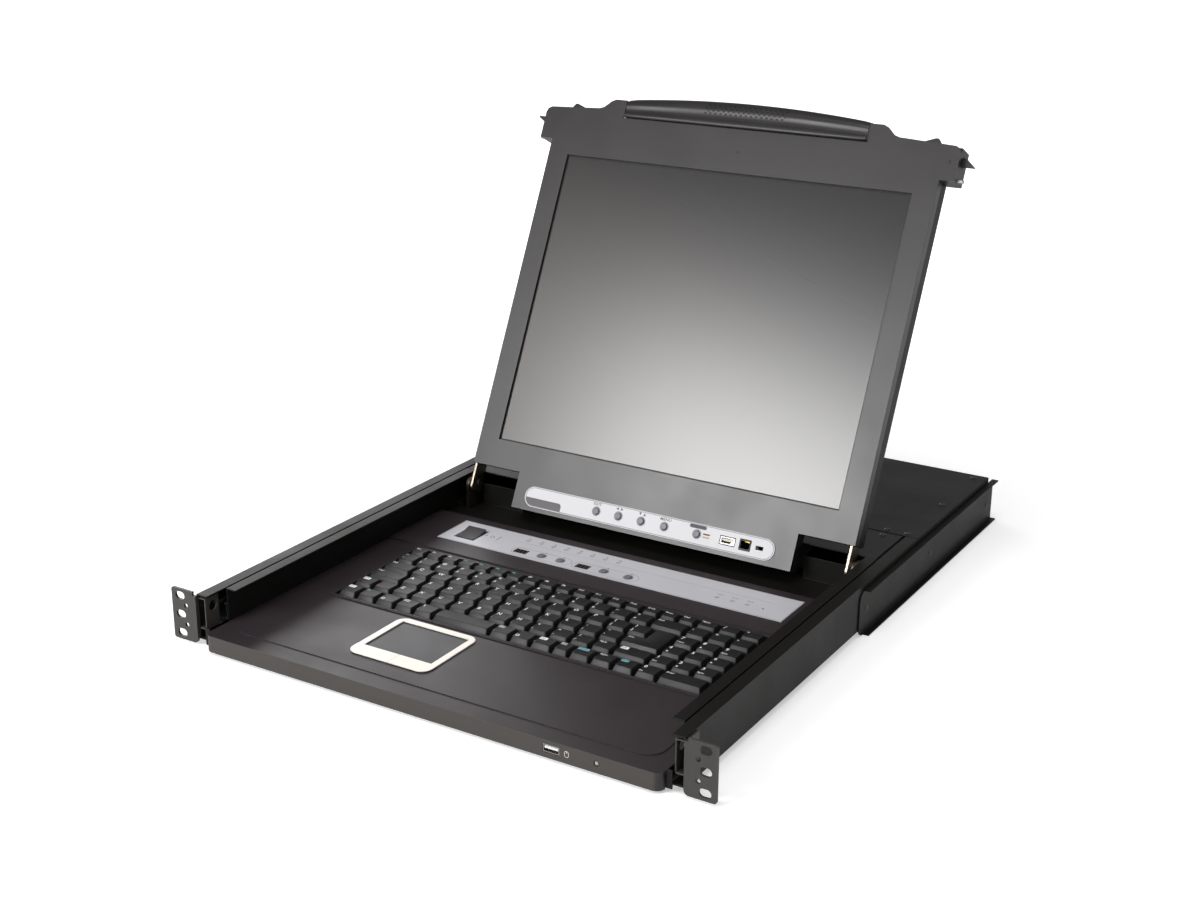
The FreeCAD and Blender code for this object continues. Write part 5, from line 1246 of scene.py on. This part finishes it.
def add_floor():
    """White paper that keeps the shadow and is lit up to plain white away from the drawer."""
    z = cad_box[0][2] - 0.0002
    mesh = bpy.data.meshes.new("floor")
    corners = [(-1.0, -1.0), (1.0, -1.0), (1.0, 1.0), (-1.0, 1.0)]
    mesh.from_pydata([(x * FLOOR_REACH, y * FLOOR_REACH, z) for x, y in corners], [], [(0, 1, 2, 3)])
    linked("floor", mesh)
    made, tree = material("white studio paper")
    mesh.materials.append(made)
    rays = node(tree, "ShaderNodeLightPath").outputs
    mirrored = node(tree, "ShaderNodeMath", {0: rays["Is Glossy Ray"], 1: PAPER_IN_MIRRORS},
                    operation="MULTIPLY")
    first = node(tree, "ShaderNodeMath", {0: rays["Is Camera Ray"], 1: mirrored}, operation="MAXIMUM")
    seen = node(tree, "ShaderNodeMath", {0: first, 1: rays["Is Transmission Ray"]}, operation="MAXIMUM")
    spots = node(tree, "ShaderNodeTexCoord").outputs["Object"]
    away = node(tree, "ShaderNodeVectorMath", {0: spots}, operation="LENGTH")
    glow = node(tree, "ShaderNodeMapRange",
                {"Value": away, "From Min": 0.6, "From Max": 1.7, "To Min": 0.45},
                interpolation_type="SMOOTHSTEP")
    lift = node(tree, "ShaderNodeMath", {0: seen, 1: glow}, operation="MULTIPLY")
    paper = node(tree, "ShaderNodeBsdfPrincipled", {"Base Color": PAPER, "Roughness": 0.9})
    faint = node(tree, "ShaderNodeEmission", {"Color": WHITE, "Strength": lift})
    mixed = node(tree, "ShaderNodeAddShader", {0: paper, 1: faint})
    node(tree, "ShaderNodeOutputMaterial", {"Surface": mixed})


def add_world(scene):
    """A white backdrop whose light falls off overhead, as in a studio with a dark ceiling."""
    scene.world = bpy.data.worlds.new("studio")
    scene.world.use_nodes = True
    tree = scene.world.node_tree
    tree.nodes.clear()
    spots = node(tree, "ShaderNodeTexCoord").outputs["Generated"]
    parts = node(tree, "ShaderNodeSeparateXYZ", {"Vector": spots}).outputs
    overhead = node(tree, "ShaderNodeMapRange",
                    {"Value": parts["Z"], "From Min": 0.03, "From Max": 0.45, "To Min": 1.0, "To Max": 0.12})
    rays = node(tree, "ShaderNodeLightPath").outputs
    around = node(tree, "ShaderNodeMix", {0: rays["Is Glossy Ray"], 2: ROOM_LIGHT, 3: overhead},
                  data_type="FLOAT")
    direct = node(tree, "ShaderNodeMath", {0: rays["Is Camera Ray"], 1: rays["Is Transmission Ray"]},
                  operation="MAXIMUM")
    strength = node(tree, "ShaderNodeMath", {0: around, 1: direct}, operation="MAXIMUM")
    sky = node(tree, "ShaderNodeBackground", {"Color": WHITE, "Strength": strength})
    node(tree, "ShaderNodeOutputWorld", {"Surface": sky})


class CONSOLE_OT_stage(bpy.types.Operator):
    """Makes the pale floor, the soft studio lights and the camera"""
    bl_idname = "console.stage"
    bl_label = "Stage"

    def execute(self, context):
        scene = context.scene
        scene.view_settings.view_transform = "Standard"
        add_floor()
        add_world(scene)
        for name, place, aim, size, power in LAMPS:
            data = bpy.data.lights.new(name, "AREA")
            data.shape = "RECTANGLE"
            data.size, data.size_y = size
            data.energy = power
            made = linked(name, data)
            made.location = place
            made.rotation_euler = (Vector(aim) - Vector(place)).to_track_quat("-Z", "Y").to_euler()
        camera = bpy.data.cameras.new("camera")
        camera.sensor_fit = "HORIZONTAL"
        camera.sensor_width = 36.0
        camera.lens = CAMERA_LENS
        scene.camera = linked("camera", camera)
        turn = Matrix(CAMERA_AXES).transposed().to_4x4()
        scene.camera.matrix_world = Matrix.Translation(CAMERA_PLACE) @ turn
        return {"FINISHED"}


class CONSOLE_PT_panel(bpy.types.Panel):
    bl_label = "Console drawer"
    bl_idname = "CONSOLE_PT_panel"
    bl_space_type = "VIEW_3D"
    bl_region_type = "UI"
    bl_category = "Console"

    def draw(self, context):
        for settings in (context.scene.console_sizes, context.scene.console_colours):
            for key in settings.bl_rna.properties.keys():
                if key not in ("rna_type", "name"):
                    self.layout.prop(settings, key)
        for operator in OPERATORS:
            self.layout.operator(operator.bl_idname)


OPERATORS = (CONSOLE_OT_finishes, CONSOLE_OT_keys, CONSOLE_OT_screen, CONSOLE_OT_handle, CONSOLE_OT_osd,
             CONSOLE_OT_control, CONSOLE_OT_deck, CONSOLE_OT_rear, CONSOLE_OT_fasteners, CONSOLE_OT_stage)
CLASSES = (ConsoleSizes, ConsoleColours) + OPERATORS + (CONSOLE_PT_panel,)


def register():
    for item in CLASSES:
        bpy.utils.register_class(item)
    bpy.types.Scene.console_sizes = bpy.props.PointerProperty(type=ConsoleSizes)
    bpy.types.Scene.console_colours = bpy.props.PointerProperty(type=ConsoleColours)


def unregister():
    del bpy.types.Scene.console_colours
    del bpy.types.Scene.console_sizes
    for item in reversed(CLASSES):
        bpy.utils.unregister_class(item)


def main():
    register()
    bpy.ops.console.finishes()
    bpy.ops.console.keys()
    bpy.ops.console.screen()
    bpy.ops.console.handle()
    bpy.ops.console.osd()
    bpy.ops.console.control()
    bpy.ops.console.deck()
    bpy.ops.console.rear()
    bpy.ops.console.fasteners()
    bpy.ops.console.stage()


if __name__ == "__main__":
    main()
